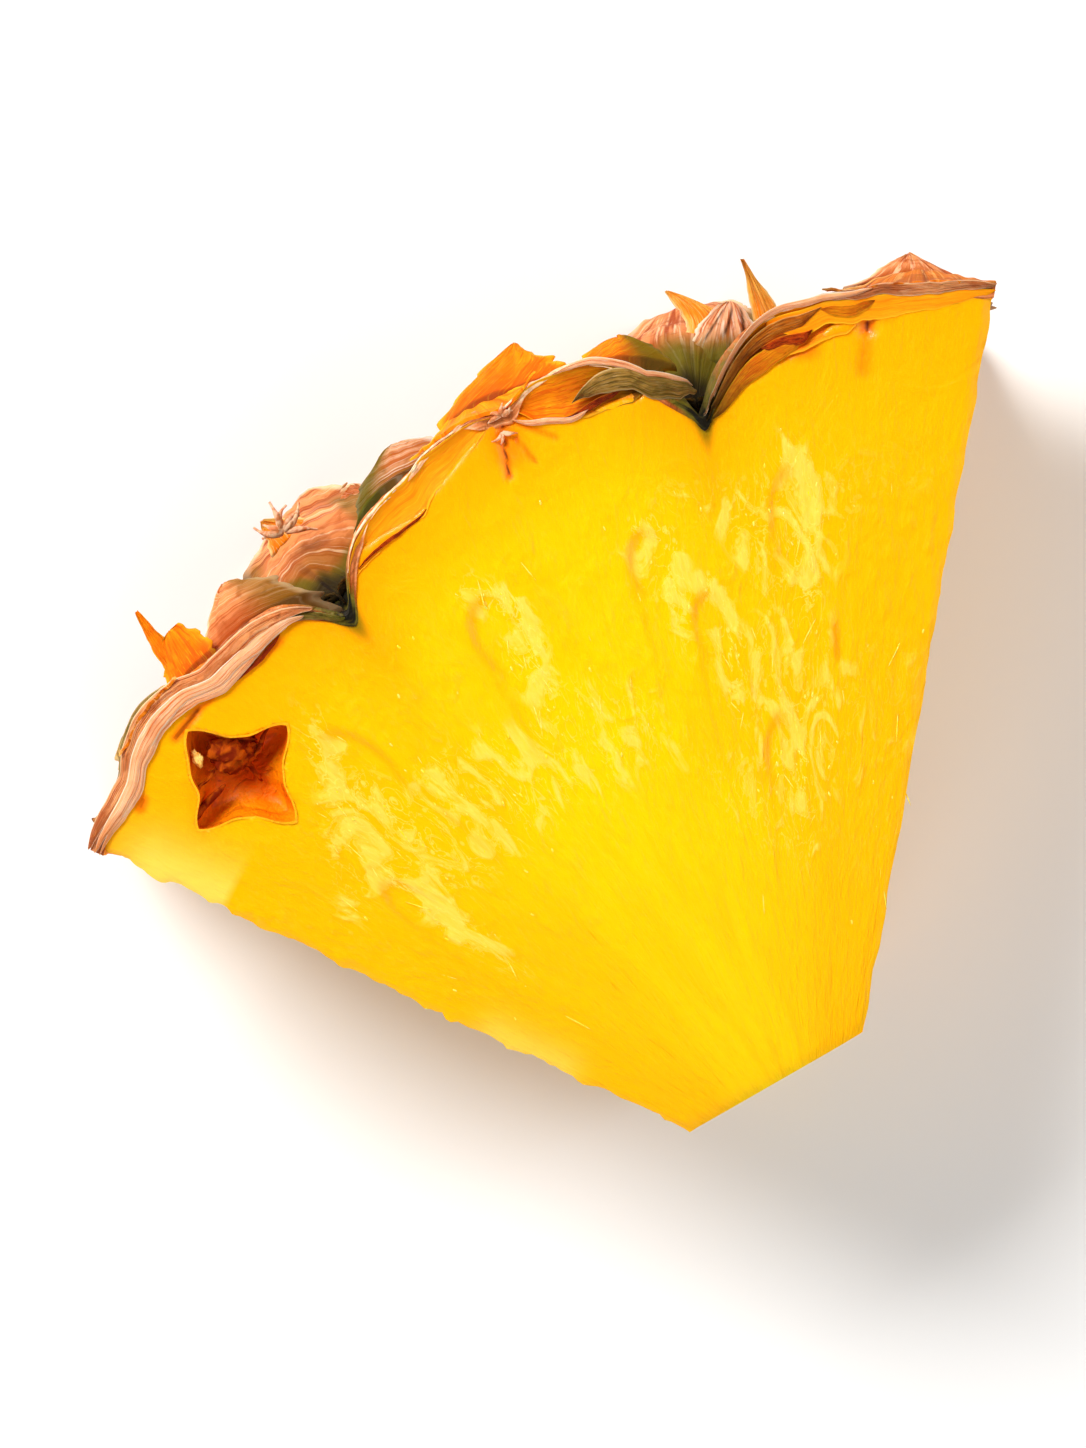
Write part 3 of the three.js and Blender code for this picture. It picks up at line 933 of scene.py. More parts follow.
@dataclass(frozen=True)
class Scar:
    """A stained place on a cut face: from one polar place to another, with a width and a strength."""

    start: tuple[float, float]
    end: tuple[float, float]
    width: float
    strength: float
    dent: float = 0.0

    def reach(self, fruit: Fruit, points: ndarray) -> ndarray:
        """How near points lie to the scar: 1 on it, falling to 0 over its width.

        Args:
            fruit: The fruit that the places are on.
            points: One point a row, in millimetres.

        Returns:
            The nearness of each point.
        """
        first = fruit.place(*self.start, 0.0)[:2]
        run = fruit.place(*self.end, 0.0)[:2] - first
        away = points[:, :2] - first
        along = np.clip(away @ run / max(run @ run, 1e-9), 0.0, 1.0)
        distance = np.hypot(*(away - along[:, None] * run).T)
        return np.exp(-((distance / self.width) ** 2))


@dataclass
class Flesh:
    """The wedge's flesh: a closed body with wet, fibrous cut faces."""

    fruit: Fruit
    arc_steps: int = 260
    radial_steps: int = 134
    height_steps: int = 24
    gather_outwards: float = 1.45
    gather_to_faces: float = 1.8
    face_share: int = 24
    under_skin: float = 0.5
    under_crease: float = 1.0
    ripple: float = 0.035
    swell: float = 0.08
    ridge: float = 0.13
    fillet: float = 0.22
    saw_waves: float = 0.12
    saw_bumps: float = 0.4
    saw_inset: float = 0.4
    pocket_depth: float = 0.15
    pocket_arch: float = 0.05
    gap_share: float = 0.5
    seed: int = 11
    scars: tuple[Scar, ...] = (
        Scar((-4.3, 58.0), (-3.3, 54.3), 0.26, 0.95, 0.3),
        Scar((-4.5, 57.6), (-5.4, 54.6), 0.24, 0.62, 0.2),
        Scar((-4.8, 57.8), (-7.4, 55.6), 0.3, 0.5, 0.12),
        Scar((-4.2, 57.6), (-4.0, 55.8), 1.3, 0.5),
        Scar((24.7, 54.85), (27.3, 54.95), 0.36, 0.92, 0.12),
        Scar((23.4, 54.6), (24.9, 54.8), 0.26, 0.66),
        Scar((32.3, 54.5), (32.9, 54.4), 0.44, 0.8, 0.1),
        Scar((17.2, 53.8), (20.6, 54.6), 0.4, 0.66),
        Scar((-29.4, 60.0), (-29.4, 59.6), 0.5, 0.95, 0.4),
        Scar((-29.4, 59.8), (-29.2, 56.8), 0.7, 0.42, 0.1),
        Scar((-24.1, 58.2), (-25.6, 58.2), 0.8, 0.6),
        Scar((-26.0, 59.0), (-31.0, 60.6), 0.5, 0.3),
        Scar((-27.3, 39.4), (-27.6, 37.2), 0.3, 0.4, 0.08),
        Scar((29.6, 52.2), (31.8, 50.0), 1.0, 0.25),
        Scar((26.8, 46.1), (26.2, 46.2), 0.6, 0.35),
    )

    def spread(self, share: ndarray) -> ndarray:
        """Moves radial shares so that cells are finer towards the rind."""
        return 1.0 - (1.0 - share) ** self.gather_outwards

    def outer(self, angle: ndarray, height: ndarray) -> ndarray:
        """Radius of the flesh under the rind, which steps back where there is a gap.

        Args:
            angle: Angles from the bisector.
            height: Heights above the resting face.

        Returns:
            The radius at each place.
        """
        skin, thickness = self.fruit.skin(angle, height), self.fruit.thickness
        to_border = self.fruit.eye_view(angle, height).inside
        to_cut = self.fruit.cut_angle - np.abs(angle)
        buried = ease(np.minimum(height, thickness - height), 0.5, 2.0) * ease(to_cut, 0.5, 2.0)
        back = self.under_skin + self.under_crease * ease(to_border, 2.6, 0.5) * buried
        for gap in self.fruit.gaps:
            open_share = gap.fullness(angle)
            full = 0.12 + 0.88 * open_share
            inner_edge = gap.inset * (0.4 + 0.6 * full) + gap.width * full / 2.0
            below = np.abs(gap.height - height) / (self.gap_share * gap.depth * full)
            wall = np.sqrt(np.maximum(0.0, 1.0 - np.minimum(below, 1.0) ** 2))
            extra = (inner_edge - self.under_skin) * ease(open_share, 0.0, 0.3) * wall
            back += np.maximum(extra, 0.0)
        return skin - back

    def face_relief(self, points: ndarray, shown: bool, noise: Noise) -> ndarray:
        """How far a round-cut face stands out, before its edges are rounded.

        Args:
            points: Points of the face, in millimetres.
            shown: True on the shown face and False on the resting one.
            noise: The noise that shapes it.

        Returns:
            The relief of each point, positive out of the flesh.
        """
        angle, radius, _ = self.fruit.polar(points)
        x, y, arc = points[:, 0], points[:, 1], np.radians(angle) * MID_RADIUS
        side = 0.0 if shown else 50.0
        warp = noise.fractal(x * 0.35, y * 0.35, side, 2)
        relief = self.swell * noise.fractal(x * 0.1, y * 0.1, side + 5.0, 2)
        outwards = np.minimum(1.0, radius / MID_RADIUS)
        fibres = noise.fractal(arc * 0.9 + warp, radius * 0.16 + 0.8 * warp, side + 9.0, 3)
        ridge = 1.0 - np.abs(noise.fractal(arc * 0.5 + 1.6 * warp, radius * 0.22 + 1.5 * warp, side + 13.0, 2))
        belt = ease(radius, 20.0, 30.0) * ease(radius, 54.0, 46.0)
        relief += self.ripple * outwards * fibres + self.ridge * np.maximum(0.0, ridge - 0.88) / 0.12 * belt
        for pocket in self.fruit.pockets:
            if (pocket.height > 0.0) == shown:
                relief += self.pocket_relief(pocket, points)
        return relief

    def pocket_relief(self, pocket: Pocket, points: ndarray) -> ndarray:
        """The dent and the raised arch of one seed pocket.

        Args:
            pocket: The pocket.
            points: Points of the face, in millimetres.

        Returns:
            The relief of each point.
        """
        outward, spread = self.pocket_place(pocket, points)
        reach = np.hypot(outward, spread)
        dent = ease(1.1 - reach, 0.0, 0.3) * (0.35 + 0.65 * ease(outward, -0.9, 0.5))
        arch = np.exp(-(((reach - 1.14) / 0.16) ** 2)) * ease(outward, -0.5, 0.5)
        return self.pocket_arch * arch - self.pocket_depth * dent

    def pocket_place(self, pocket: Pocket, points: ndarray) -> tuple[ndarray, ndarray]:
        """Places as a pocket sees them: outwards and aside, 1 at its border.

        Args:
            pocket: The pocket.
            points: Points of the face, in millimetres.

        Returns:
            How far outwards and how far aside each point is.
        """
        away = points[:, :2] - self.fruit.place(pocket.angle, pocket.radius, 0.0)[:2]
        turn = math.radians(pocket.angle)
        outward = away @ np.array((-math.sin(turn), math.cos(turn))) / (pocket.length / 2.0)
        aside = away @ np.array((math.cos(turn), math.sin(turn))) / (pocket.width / 2.0)
        return outward, aside

    def surface(self) -> Surface:
        """The body before the flower cups are opened.

        Returns:
            Its closed surface.
        """
        unit, faces = box_lattice(self.arc_steps, self.radial_steps, self.height_steps)
        noise, fruit = Noise(self.seed), self.fruit
        angle = fruit.cut_angle * (1.0 - 2.0 * unit[:, 0])
        height = fruit.thickness * gathered(unit[:, 2], self.gather_to_faces)
        inner, outer = fruit.core(angle), self.outer(angle, height)
        radius = inner + (outer - inner) * self.spread(unit[:, 1])
        to_side = np.radians(fruit.cut_angle - np.abs(angle)) * radius
        near_side = np.exp(-to_side / 0.8)
        side_wave = noise.fractal(radius * 0.45, height * 0.16, np.sign(angle) * 7.0, 3)
        frayed = np.abs(noise.fractal(radius * 0.55, np.sign(angle) * 3.0, 2.5, 3))
        lip = np.exp(-(fruit.thickness - height) / 2.5) * (angle > 0.0)
        inset = self.saw_inset * ease(radius, 22.0, 50.0)
        push = near_side * (self.saw_waves * side_wave + lip * (self.saw_bumps * (frayed - 0.3) - inset))
        angle = angle + np.degrees(push / radius) * np.sign(angle)
        points = fruit.place(angle, radius, height)
        edge = np.exp(-to_side / 0.3) + np.exp(-(radius - inner) / 0.3) + np.exp(-(outer - radius) / 0.25)
        rounding = self.fillet * np.minimum(edge, 1.2)
        top, bottom = unit[:, 2] ** self.face_share, (1.0 - unit[:, 2]) ** self.face_share
        calm = 1.0 - 0.75 * np.minimum(edge, 1.0)
        relief_up = self.face_relief(points, True, noise) * calm - rounding
        relief_down = self.face_relief(points, False, noise) * calm - rounding
        points[:, 2] += top * np.minimum(relief_up, 0.3) - bottom * np.minimum(relief_down, 0.0)
        for scar in self.scars:
            points[:, 2] -= top * scar.dent * scar.reach(fruit, points)
        return Surface(points, faces)

    def gap_walls(self, angle: ndarray, radius: ndarray, height: ndarray) -> ndarray:
        """How much of a gap's wall each place is.

        Args:
            angle: Angles from the bisector.
            radius: Distances from the fruit's axis.
            height: Heights above the resting face.

        Returns:
            The share of each place, 0 to 1.
        """
        near = ease(self.outer(angle, height) - radius, 0.32, 0.08)
        walls = np.zeros(angle.shape)
        for gap in self.fruit.gaps:
            below = np.abs(gap.height - height)
            deep = ease(below, 0.04, 0.4) * ease(below, gap.depth + 2.0, gap.depth)
            walls = np.maximum(walls, np.minimum(3.0 * gap.fullness(angle) * near * deep, 1.0))
        return walls

    def sheen_and_fold_shade(self, points: ndarray, height: ndarray, belt: ndarray) -> tuple[ndarray, ndarray]:
        """Where the flesh is moist and takes painted sheen, most of all round its pockets, and where painted shade
        lies in their folds.

        Args:
            points: Points of the finished body, in millimetres.
            height: Their heights, kept within the wedge.
            belt: How much of the wet belt between core and rind each point is.

        Returns:
            How much moisture and painted sheen each point takes, and how much painted shade of a fold.
        """
        noise = Noise(self.seed + 5)
        x, y = points[:, 0], points[:, 1]
        cloud = noise.fractal(x * 0.12, y * 0.12, height * 0.05, 2)
        ragged = 0.16 * noise.fractal(x * 0.7, y * 0.7, 4.0, 3)
        moist, fold = belt * (0.05 + 0.45 * ease(cloud, 0.05, 0.65)), np.zeros(height.shape)
        for pocket in self.fruit.pockets:
            level = ease(np.abs(pocket.height - height), 3.0, 1.0)
            outward, aside = self.pocket_place(pocket, points)
            bright, reach = pocket.shade * aside, np.hypot(outward, aside)
            # painted sheen: pale patches on each pocket's lit side and down its tail
            sheen_halo = np.exp(-(((reach - 1.1 + ragged) / 0.42) ** 2)) * ease(bright + 0.5 * outward, -0.3, 0.4)
            sheen_tail = np.exp(-(((bright - 0.5 + ragged) / 0.7) ** 2)) * ease(outward, -3.6, -1.2) * (outward < 0.0)
            moist = np.maximum(moist, level * np.maximum(sheen_halo, 0.8 * sheen_tail))
            # painted shade: a crescent on each pocket's shaded side and a darker line along its groove
            shade_crescent = np.exp(-(((reach - 0.92) / 0.2) ** 2)) * ease(bright - 0.35 * outward, 0.15, -0.75)
            groove_shade = np.exp(-(((bright + 0.95 + 0.3 * ragged) / 0.16) ** 2))
            groove_shade *= ease(outward, -5.0, -1.0) * ease(outward, 0.3, -0.5)
            fold = np.maximum(fold, level * np.maximum(0.8 * shade_crescent, 0.42 * groove_shade))
        for cup in self.fruit.cups:
            away = np.hypot(*(points[:, :2] - self.fruit.place(cup.angle, cup.radius, cup.height)[:2]).T)
            level = ease(np.abs(cup.height - height), 7.0, 6.0)
            moist *= 1.0 - level * ease(away, cup.size + 0.8, cup.size)
        return moist, fold

    def values(self, points: ndarray) -> dict[str, ndarray]:
        """The numbers that the finish reads.

        Args:
            points: Points of the finished body, in millimetres.

        Returns:
            One number a point under each name.
        """
        fruit = self.fruit
        angle, radius, height = fruit.polar(points)
        height = np.clip(height, 0.0, fruit.thickness)
        eye = fruit.eye_view(angle, height)
        depth = np.maximum(fruit.skin(angle, height, eye) - radius, 0.0)
        shown = ease(height, fruit.thickness - 1.5, fruit.thickness - 0.8)
        stain = shown * np.max([scar.strength * scar.reach(fruit, points) for scar in self.scars], axis=0)
        below = ease(height, 23.6, 22.6)
        side_cut = ease(fruit.cut_angle - np.abs(angle), 0.6, 0.2) * below
        core_cut = ease(radius - fruit.core(angle), 0.4, 0.15) * below
        belt = ease(radius, 17.0, 28.0) * ease(radius, 54.5, 48.0)
        belt *= (1.0 - 0.7 * side_cut) * (0.35 + 0.65 * ease(angle, -31.0, -23.0))
        moist, fold = self.sheen_and_fold_shade(points, height, belt)
        corner = Scar((36.6, 51.6), (36.3, 46.6), 2.3, 1.0).reach(fruit, points)
        low_edge = Scar((37.1, 25.6), (37.1, 21.0), 1.5, 1.0).reach(fruit, points)
        return {
            "depth": depth,
            "stain": stain,
            "gap": self.gap_walls(angle, radius, height),
            # moist places, which take painted sheen and the juice sacs
            "moist": moist,
            "grain": moist * (height > 0.6),
            # arch: painted shade in the pockets' folds
            "arch": fold,
            "pale": np.maximum(0.75 * corner * ease(radius, 46.0, 46.6), 0.5 * low_edge) * shown,
            "side": np.maximum(side_cut, core_cut),
            "green": 0.9 * ease(eye.inside + 0.3 * depth, 1.7, 0.5) * ease(depth, 3.4, 0.6),
        }

    def build(self, finish: Material) -> Object:
        """Makes the flesh with its flower cups opened.

        Args:
            finish: Its material.

        Returns:
            The finished piece.
        """
        piece = self.surface().piece("flesh", finish, 42.0)
        cutters = [CupShape(self.fruit, cup).cutter(finish) for cup in self.fruit.cups]
        for cutter in cutters:
            modifier = piece.modifiers.new(cutter.name, "BOOLEAN")
            modifier.operation = "DIFFERENCE"
            modifier.solver = "MANIFOLD"
            modifier.object = cutter
        settle(piece)
        for cutter in cutters:
            bpy.data.objects.remove(cutter)
        for label, numbers in self.values(points_of(piece.data)).items():
            set_values(piece.data, label, numbers)
        return dress(piece)


@dataclass
class CupShape:
    """The shape of one opened flower cup, for the cut and for its wall."""

    fruit: Fruit
    cup: Cup
    around_steps: int = 112
    deep_steps: int = 26
    wall_power: float = 0.45
    corner_power: float = 4.6
    point_power: float = 2.2
    bulge_turn: float = 8.0
    shallow: float = 0.7
    lid_rise: float = 3.0
    wall_scales: tuple[float, float] = (1.015, 0.968)
    wall_drops: tuple[float, float] = (-0.06, 0.25)
    crinkle: float = 0.027
    rim_lift: float = 0.05
    seed: int = 23

    def steps(self) -> tuple[ndarray, ndarray]:
        """The directions round the cup, in radians, and the shares of its depth above the bottom."""
        turns = np.linspace(0.0, 2.0 * np.pi, self.around_steps, endpoint=False)
        return turns, np.linspace(0.0, 1.0, self.deep_steps)[:-1]

    def ring(self, share: ndarray, around: ndarray, scale: float = 1.0, drop: float = 0.0) -> ndarray:
        """Points of the cup's wall.

        Args:
            share: How deep: 0 at the rim and 1 at the bottom.
            around: Directions round the cup, in radians.
            scale: Size of the star against the real one.
            drop: How much shallower the cup is than the real one.

        Returns:
            One point a row.
        """
        cup = self.cup
        centre = self.fruit.place(cup.angle, cup.radius, cup.height)
        turned = 2.0 * (around - math.radians(cup.turn))
        pointed = (1.0 - np.abs(np.arcsin(np.sin(turned))) * 2.0 / np.pi) ** self.point_power
        to_corner = 0.5 * np.abs(np.cos(turned)) ** self.corner_power + 0.5 * pointed
        star = cup.size - cup.corner + 2.0 * cup.corner * to_corner
        bulging = np.cos(around - np.pi + math.radians(PHOTO_TURN + self.bulge_turn))
        star = star + cup.bulge * np.maximum(0.0, bulging) ** 8
        reach = scale * star * np.cos(share * np.pi / 2.0) ** self.wall_power
        sunk = (self.shallow * cup.depth - drop) * np.sin(share * np.pi / 2.0)
        z = cup.height - facing(cup.height) * sunk
        return np.stack([centre[0] + reach * np.cos(around), centre[1] + reach * np.sin(around), z], axis=-1)

    def cutter(self, material: Material) -> Object:
        """Makes the closed body that opens the cup in the flesh, with a flat lid above the face.

        Args:
            material: Material of its faces.

        Returns:
            The body.
        """
        turns, shares = self.steps()
        out, count = facing(self.cup.height), self.around_steps
        lid = self.ring(np.zeros(count), turns) + (0.0, 0.0, out * (self.cup.depth + self.lid_rise))
        rings = [lid, *[self.ring(np.full(count, share), turns) for share in shares]]
        bottom = self.ring(np.ones(1), np.zeros(1), 0.0)
        faces = ring_faces(len(rings), count, out < 0.0)
        faces += fan_faces((len(rings) - 1) * count, count, len(rings) * count, out > 0.0)
        faces += fan_faces(0, count, len(rings) * count + 1, out < 0.0)
        points = np.concatenate([*rings, bottom, lid.mean(axis=0, keepdims=True)])
        return Surface(points, faces).piece("cup_cutter", material)

    def lining(self, index: int, finish: Material) -> Object:
        """Makes the thin waxy wall inside the cup.

        Args:
            index: Number of the cup, for the name.
            finish: Its material.

        Returns:
            The finished piece.
        """
        noise = Noise(self.seed + index)
        turns, shares = self.steps()
        out, count, rows = facing(self.cup.height), self.around_steps, 2 * len(shares)
        across, along = np.cos(turns), np.sin(turns)
        centre = self.fruit.place(self.cup.angle, self.cup.radius, self.cup.height)[:2]
        outer, inner = [], []
        for share in shares:
            level = np.full(count, share)
            folds = noise.fractal(across * 2.4, along * 2.4, share * 5.0, 3) * min(1.0, share * 6.0)
            thin = self.ring(level, turns, self.wall_scales[1])
            thin[:, :2] = centre + (thin[:, :2] - centre) * (1.0 + self.crinkle * folds)[:, None]
            inner.append(thin)
            outer.append(self.ring(level, turns, self.wall_scales[0], self.wall_drops[0]))
        rim = self.rim_lift * (1.0 + noise.fractal(across * 3.0, along * 3.0, 9.0, 2))
        outer[0][:, 2] += out * rim * 0.4
        inner[0][:, 2] += out * (rim - self.rim_lift)
        ends = [self.ring(np.ones(1), np.zeros(1), 0.0, drop) for drop in self.wall_drops]
        points = np.concatenate([ends[1], *inner[::-1], *outer, ends[0]])
        points[:, 2] = np.maximum(points[:, 2], FLOOR_GAP)
        faces = ring_faces(rows, count, out > 0.0, 1)
        faces += fan_faces(1, count, 0, out > 0.0)
        faces += fan_faces(1 + (rows - 1) * count, count, 1 + rows * count, out < 0.0)
        # Painted light: how much each part of the wall faces the key light, which its finish turns into a brighter
        # orange.
        lower_right = (PHOTO_RIGHT - PHOTO_UP)[:2] / math.sqrt(2.0)
        lit = across * lower_right[0] + along * lower_right[1]
        values = {
            "sunk": np.pad(np.repeat([*shares[::-1], *shares], count), 1, constant_values=1.0),
            "around": np.pad(np.tile(3.0 * along, rows), 1, constant_values=0.0),
            "lit": np.pad(np.tile(lit, rows), 1, constant_values=0.4),
        }
        return dress(Surface(points, faces, values).piece(f"flower_cup_{index}", finish, 70.0))


def ring_faces(rings: int, count: int, flip: bool, first: int = 0) -> list[list[int]]:
    """Quads between closed rings of points.

    Args:
        rings: How many rings.
        count: Points in each ring.
        flip: Turns the quads round.
        first: Index of the first point.

    Returns:
        The quads.
    """
    faces = []
    for ring in range(rings - 1):
        for step in range(count):
            a = first + ring * count + step
            b = first + ring * count + (step + 1) % count
            quad = [a, a + count, b + count, b]
            faces.append(quad[::-1] if flip else quad)
    return faces


def fan_faces(start: int, count: int, tip: int, flip: bool) -> list[list[int]]:
    """Triangles from the ring of count points at start to the point at tip; flip turns them round."""
    fans = [[start + step, start + (step + 1) % count, tip] for step in range(count)]
    return [fan[::-1] for fan in fans] if flip else fans


@dataclass
class Rind:
    """The thin dry shell over the flesh, with its domed eyes, cut flush with the round faces."""

    fruit: Fruit
    arc_steps: int = 330
    height_steps: int = 104
    wall_steps: int = 8
    gather_to_faces: float = 1.25
    face_share: int = 30
    wall: float = 0.95
    lip_wall: float = 0.3
    grain: float = 0.09
    seam_depth: float = 0.42
    wrinkle_depth: float = 0.12
    wrinkles: float = 22.0
    seed: int = 31

    def surface(self) -> Surface:
        """The shell's surface with the numbers that its finish reads.

        Returns:
            The closed surface.
        """
        unit, faces = box_lattice(self.arc_steps, self.wall_steps, self.height_steps)
        noise, fruit = Noise(self.seed), self.fruit
        angle = (fruit.cut_angle + 0.06) * (1.0 - 2.0 * unit[:, 0])
        height = fruit.thickness * gathered(unit[:, 2], self.gather_to_faces)
        eye = fruit.eye_view(angle, height)
        skin = fruit.skin(angle, height, eye)
        arc = np.radians(angle) * fruit.radius
        grain = noise.fractal(arc * 0.7, height * 0.7, 1.0, 3)
        around = np.arctan2(eye.crownward, eye.aside)
        sepal = np.abs(np.sin(1.5 * around + 0.8)) ** 0.5
        seam = (1.0 - sepal) * ease(eye.distance, 0.4, 1.6) * ease(eye.distance, 7.5, 3.5)
        wrinkle = 0.5 + 0.5 * np.sin(around * self.wrinkles + 3.0 * noise.value(arc * 0.3, height * 0.3, 4.0))
        wrinkle = wrinkle * ease(eye.distance, 2.0, 5.0) * ease(eye.inside, 0.3, 2.0)
        relief = self.grain * grain - self.seam_depth * seam - self.wrinkle_depth * wrinkle
        lip = np.zeros(angle.shape)
        for gap in fruit.gaps:
            lip = np.maximum(lip, gap.fullness(angle) * np.exp(-np.abs(gap.height - height) / gap.depth))
        wall = self.wall + (self.lip_wall - self.wall) * ease(lip, 0.1, 0.5)
        radius = skin + relief - wall * (1.0 - unit[:, 1])
        ragged = noise.fractal(arc * 1.4, 3.0, 2.0, 3)
        layer = wall * (1.0 - unit[:, 1])
        rise = 0.08 + 0.07 * ragged + 0.1 * noise.fractal(arc * 0.3, layer * 2.6, 6.0, 2)
        top, bottom = unit[:, 2] ** self.face_share, (1.0 - unit[:, 2]) ** self.face_share
        z = height + top * rise + bottom * 0.06 * np.abs(ragged)
        points = fruit.place(angle, radius, z)
        to_face = np.minimum(fruit.thickness - height, height)
        values = {
            "inside": eye.inside,
            "cut_edge": ease(to_face, 0.25, 0.02),
            "lining": ease(unit[:, 1], 0.3, 0.05),
            "layer": layer,
            "tone": 0.02 + 0.56 * ease(eye.inside, 0.1, 2.4) + 0.34 * ease(lip, 0.1, 0.5),
        }
        return Surface(points, faces, values)

    def build(self, finish: Material) -> Object:
        """Makes the rind and gives the finished piece."""
        return dress(self.surface().piece("rind", finish, 60.0))


class Stuff(Enum):
    """The kinds of dry leaf on the rind."""

    SALMON = "salmon_scale"
    ORANGE = "orange_tip"
    STRAW = "straw_tip"
    OLIVE = "olive_scale"
    BROWN = "brown_edge"
    PINK = "pink_edge"
    RED = "red_edge"
    TROUGH = "inner_skin"
    PALE = "pale_scale"


def leaf_finishes() -> dict[Stuff, LeafFinish]:
    """The finish of each kind of dry leaf: the colours of its body, veins, margin and base.

    Returns:
        The finish under its kind.
    """
    colours = {
        Stuff.SALMON: ((232, 142, 84), (166, 68, 14), (255, 204, 160), (164, 74, 14)),
        Stuff.ORANGE: ((255, 140, 0), (238, 100, 0), (255, 172, 20), (226, 96, 0)),
        Stuff.STRAW: ((255, 172, 66), (246, 128, 14), (255, 214, 146), (250, 130, 6)),
        Stuff.OLIVE: ((172, 128, 56), (96, 72, 10), (222, 184, 124), (80, 62, 6)),
        Stuff.BROWN: ((212, 108, 8), (146, 62, 2), (246, 172, 90), (160, 70, 2)),
        Stuff.PINK: ((250, 174, 124), (220, 108, 46), (255, 228, 200), (232, 140, 78)),
        Stuff.RED: ((206, 66, 0), (126, 26, 0), (246, 130, 20), (146, 34, 0)),
        Stuff.TROUGH: ((255, 152, 0), (252, 132, 0), (255, 180, 26), (248, 128, 1)),
        Stuff.PALE: ((240, 168, 124), (196, 98, 46), (255, 228, 204), (176, 96, 30)),
    }
    relief = {Stuff.TROUGH: 0.15, Stuff.PINK: 0.25, Stuff.SALMON: 0.7, Stuff.ORANGE: 0.6}
    finishes = {}
    for stuff, row in colours.items():
        finishes[stuff] = LeafFinish(
            stuff.value,
            *[srgb(*colour) for colour in row],
            relief=relief.get(stuff, 0.9),
            blotch=0.25 if stuff in (Stuff.TROUGH, Stuff.PINK) else 0.5,
            lines=5.0 if stuff in (Stuff.PINK, Stuff.PALE) else 7.0,
        )
    return finishes


@dataclass(frozen=True)
class Leaf:
    """A dry leaf tip that stands off the rind.

    Lift is the angle off the skin at the root and curl the angle added on the way to the tip.
    Heading is the way it grows over the skin: 0 is towards the crown and 90 towards a larger
    angle. Lean is how far the tip goes to the side, and taper how fast the leaf narrows. Skew is
    how far its veins run aslant, and splay how close they lie across the leaf. Green side is how
    green one side is: above 0 the one towards larger angles.
    """

    name: str
    stuff: Stuff
    angle: float
    height: float
    width: float
    length: float
    lift: float
    curl: float
    heading: float
    lean: float
    taper: float
    green: float = 0.0
    slits: int = 0
    skew: float = 0.0
    splay: float = 1.0
    green_side: float = 0.0


LEAVES = (
    Leaf("broad_tip", Stuff.ORANGE, -4.0, 20.4, 11.0, 3.6, 66.0, -18.0, 0.0, -3.0, 0.9, 0.0, 0, 1.2),
    Leaf("left_flap", Stuff.ORANGE, 23.6, 19.6, 4.4, 3.0, 70.0, 6.0, 4.0, -1.4, 0.3),
    Leaf("left_spike", Stuff.ORANGE, 23.9, 19.6, 2.0, 5.6, 70.0, 6.0, 4.0, -1.3, 0.9),
    Leaf("left_lobe", Stuff.SALMON, 18.6, 18.6, 9.8, 4.1, 70.0, -20.0, 0.0, -0.9, 0.72, 0.0, 0, -2.0, 0.3, -0.6),
    Leaf("knot_curl", Stuff.STRAW, 12.6, 8.0, 4.0, 2.2, 62.0, 44.0, 10.0, 1.2, 0.9),
    Leaf("knot_tip", Stuff.SALMON, 9.0, 8.5, 5.0, 1.5, 66.0, -34.0, -20.0, -1.2, 0.9, 0.0, 0, -1.6, 0.4),
    Leaf("middle_lobe", Stuff.PALE, 4.4, 18.0, 9.0, 2.7, 70.0, -16.0, -8.0, -1.2, 0.6, 0.2, 0, -2.2, 0.35, 0.7),
    Leaf("hooked_leaf", Stuff.STRAW, -21.2, 10.0, 6.2, 5.1, 80.0, -34.0, 10.0, 4.2, 0.85, 0.0, 0, 0.8),
    Leaf("pink_fan", Stuff.PALE, -19.8, 11.5, 7.0, 4.4, 76.0, -10.0, 6.0, -1.2, 0.6, 0.9, 4),
    Leaf("right_spike", Stuff.STRAW, -24.2, 10.0, 5.0, 8.8, 80.0, 4.0, 4.0, 2.5, 1.2),
    Leaf("curled_lip", Stuff.ORANGE, -12.4, 20.5, 7.0, 2.3, 72.0, -40.0, 0.0, -0.8, 0.6, 0.0, 0, 1.6, 1.0, -0.9),
    Leaf("right_tip", Stuff.SALMON, -33.0, 18.0, 9.0, 2.6, 58.0, -14.0, 0.0, 1.2, 1.0),
    Leaf("left_frill", Stuff.OLIVE, 29.0, 18.0, 8.0, 1.9, 66.0, -20.0, 0.0, 0.0, 0.4),
)


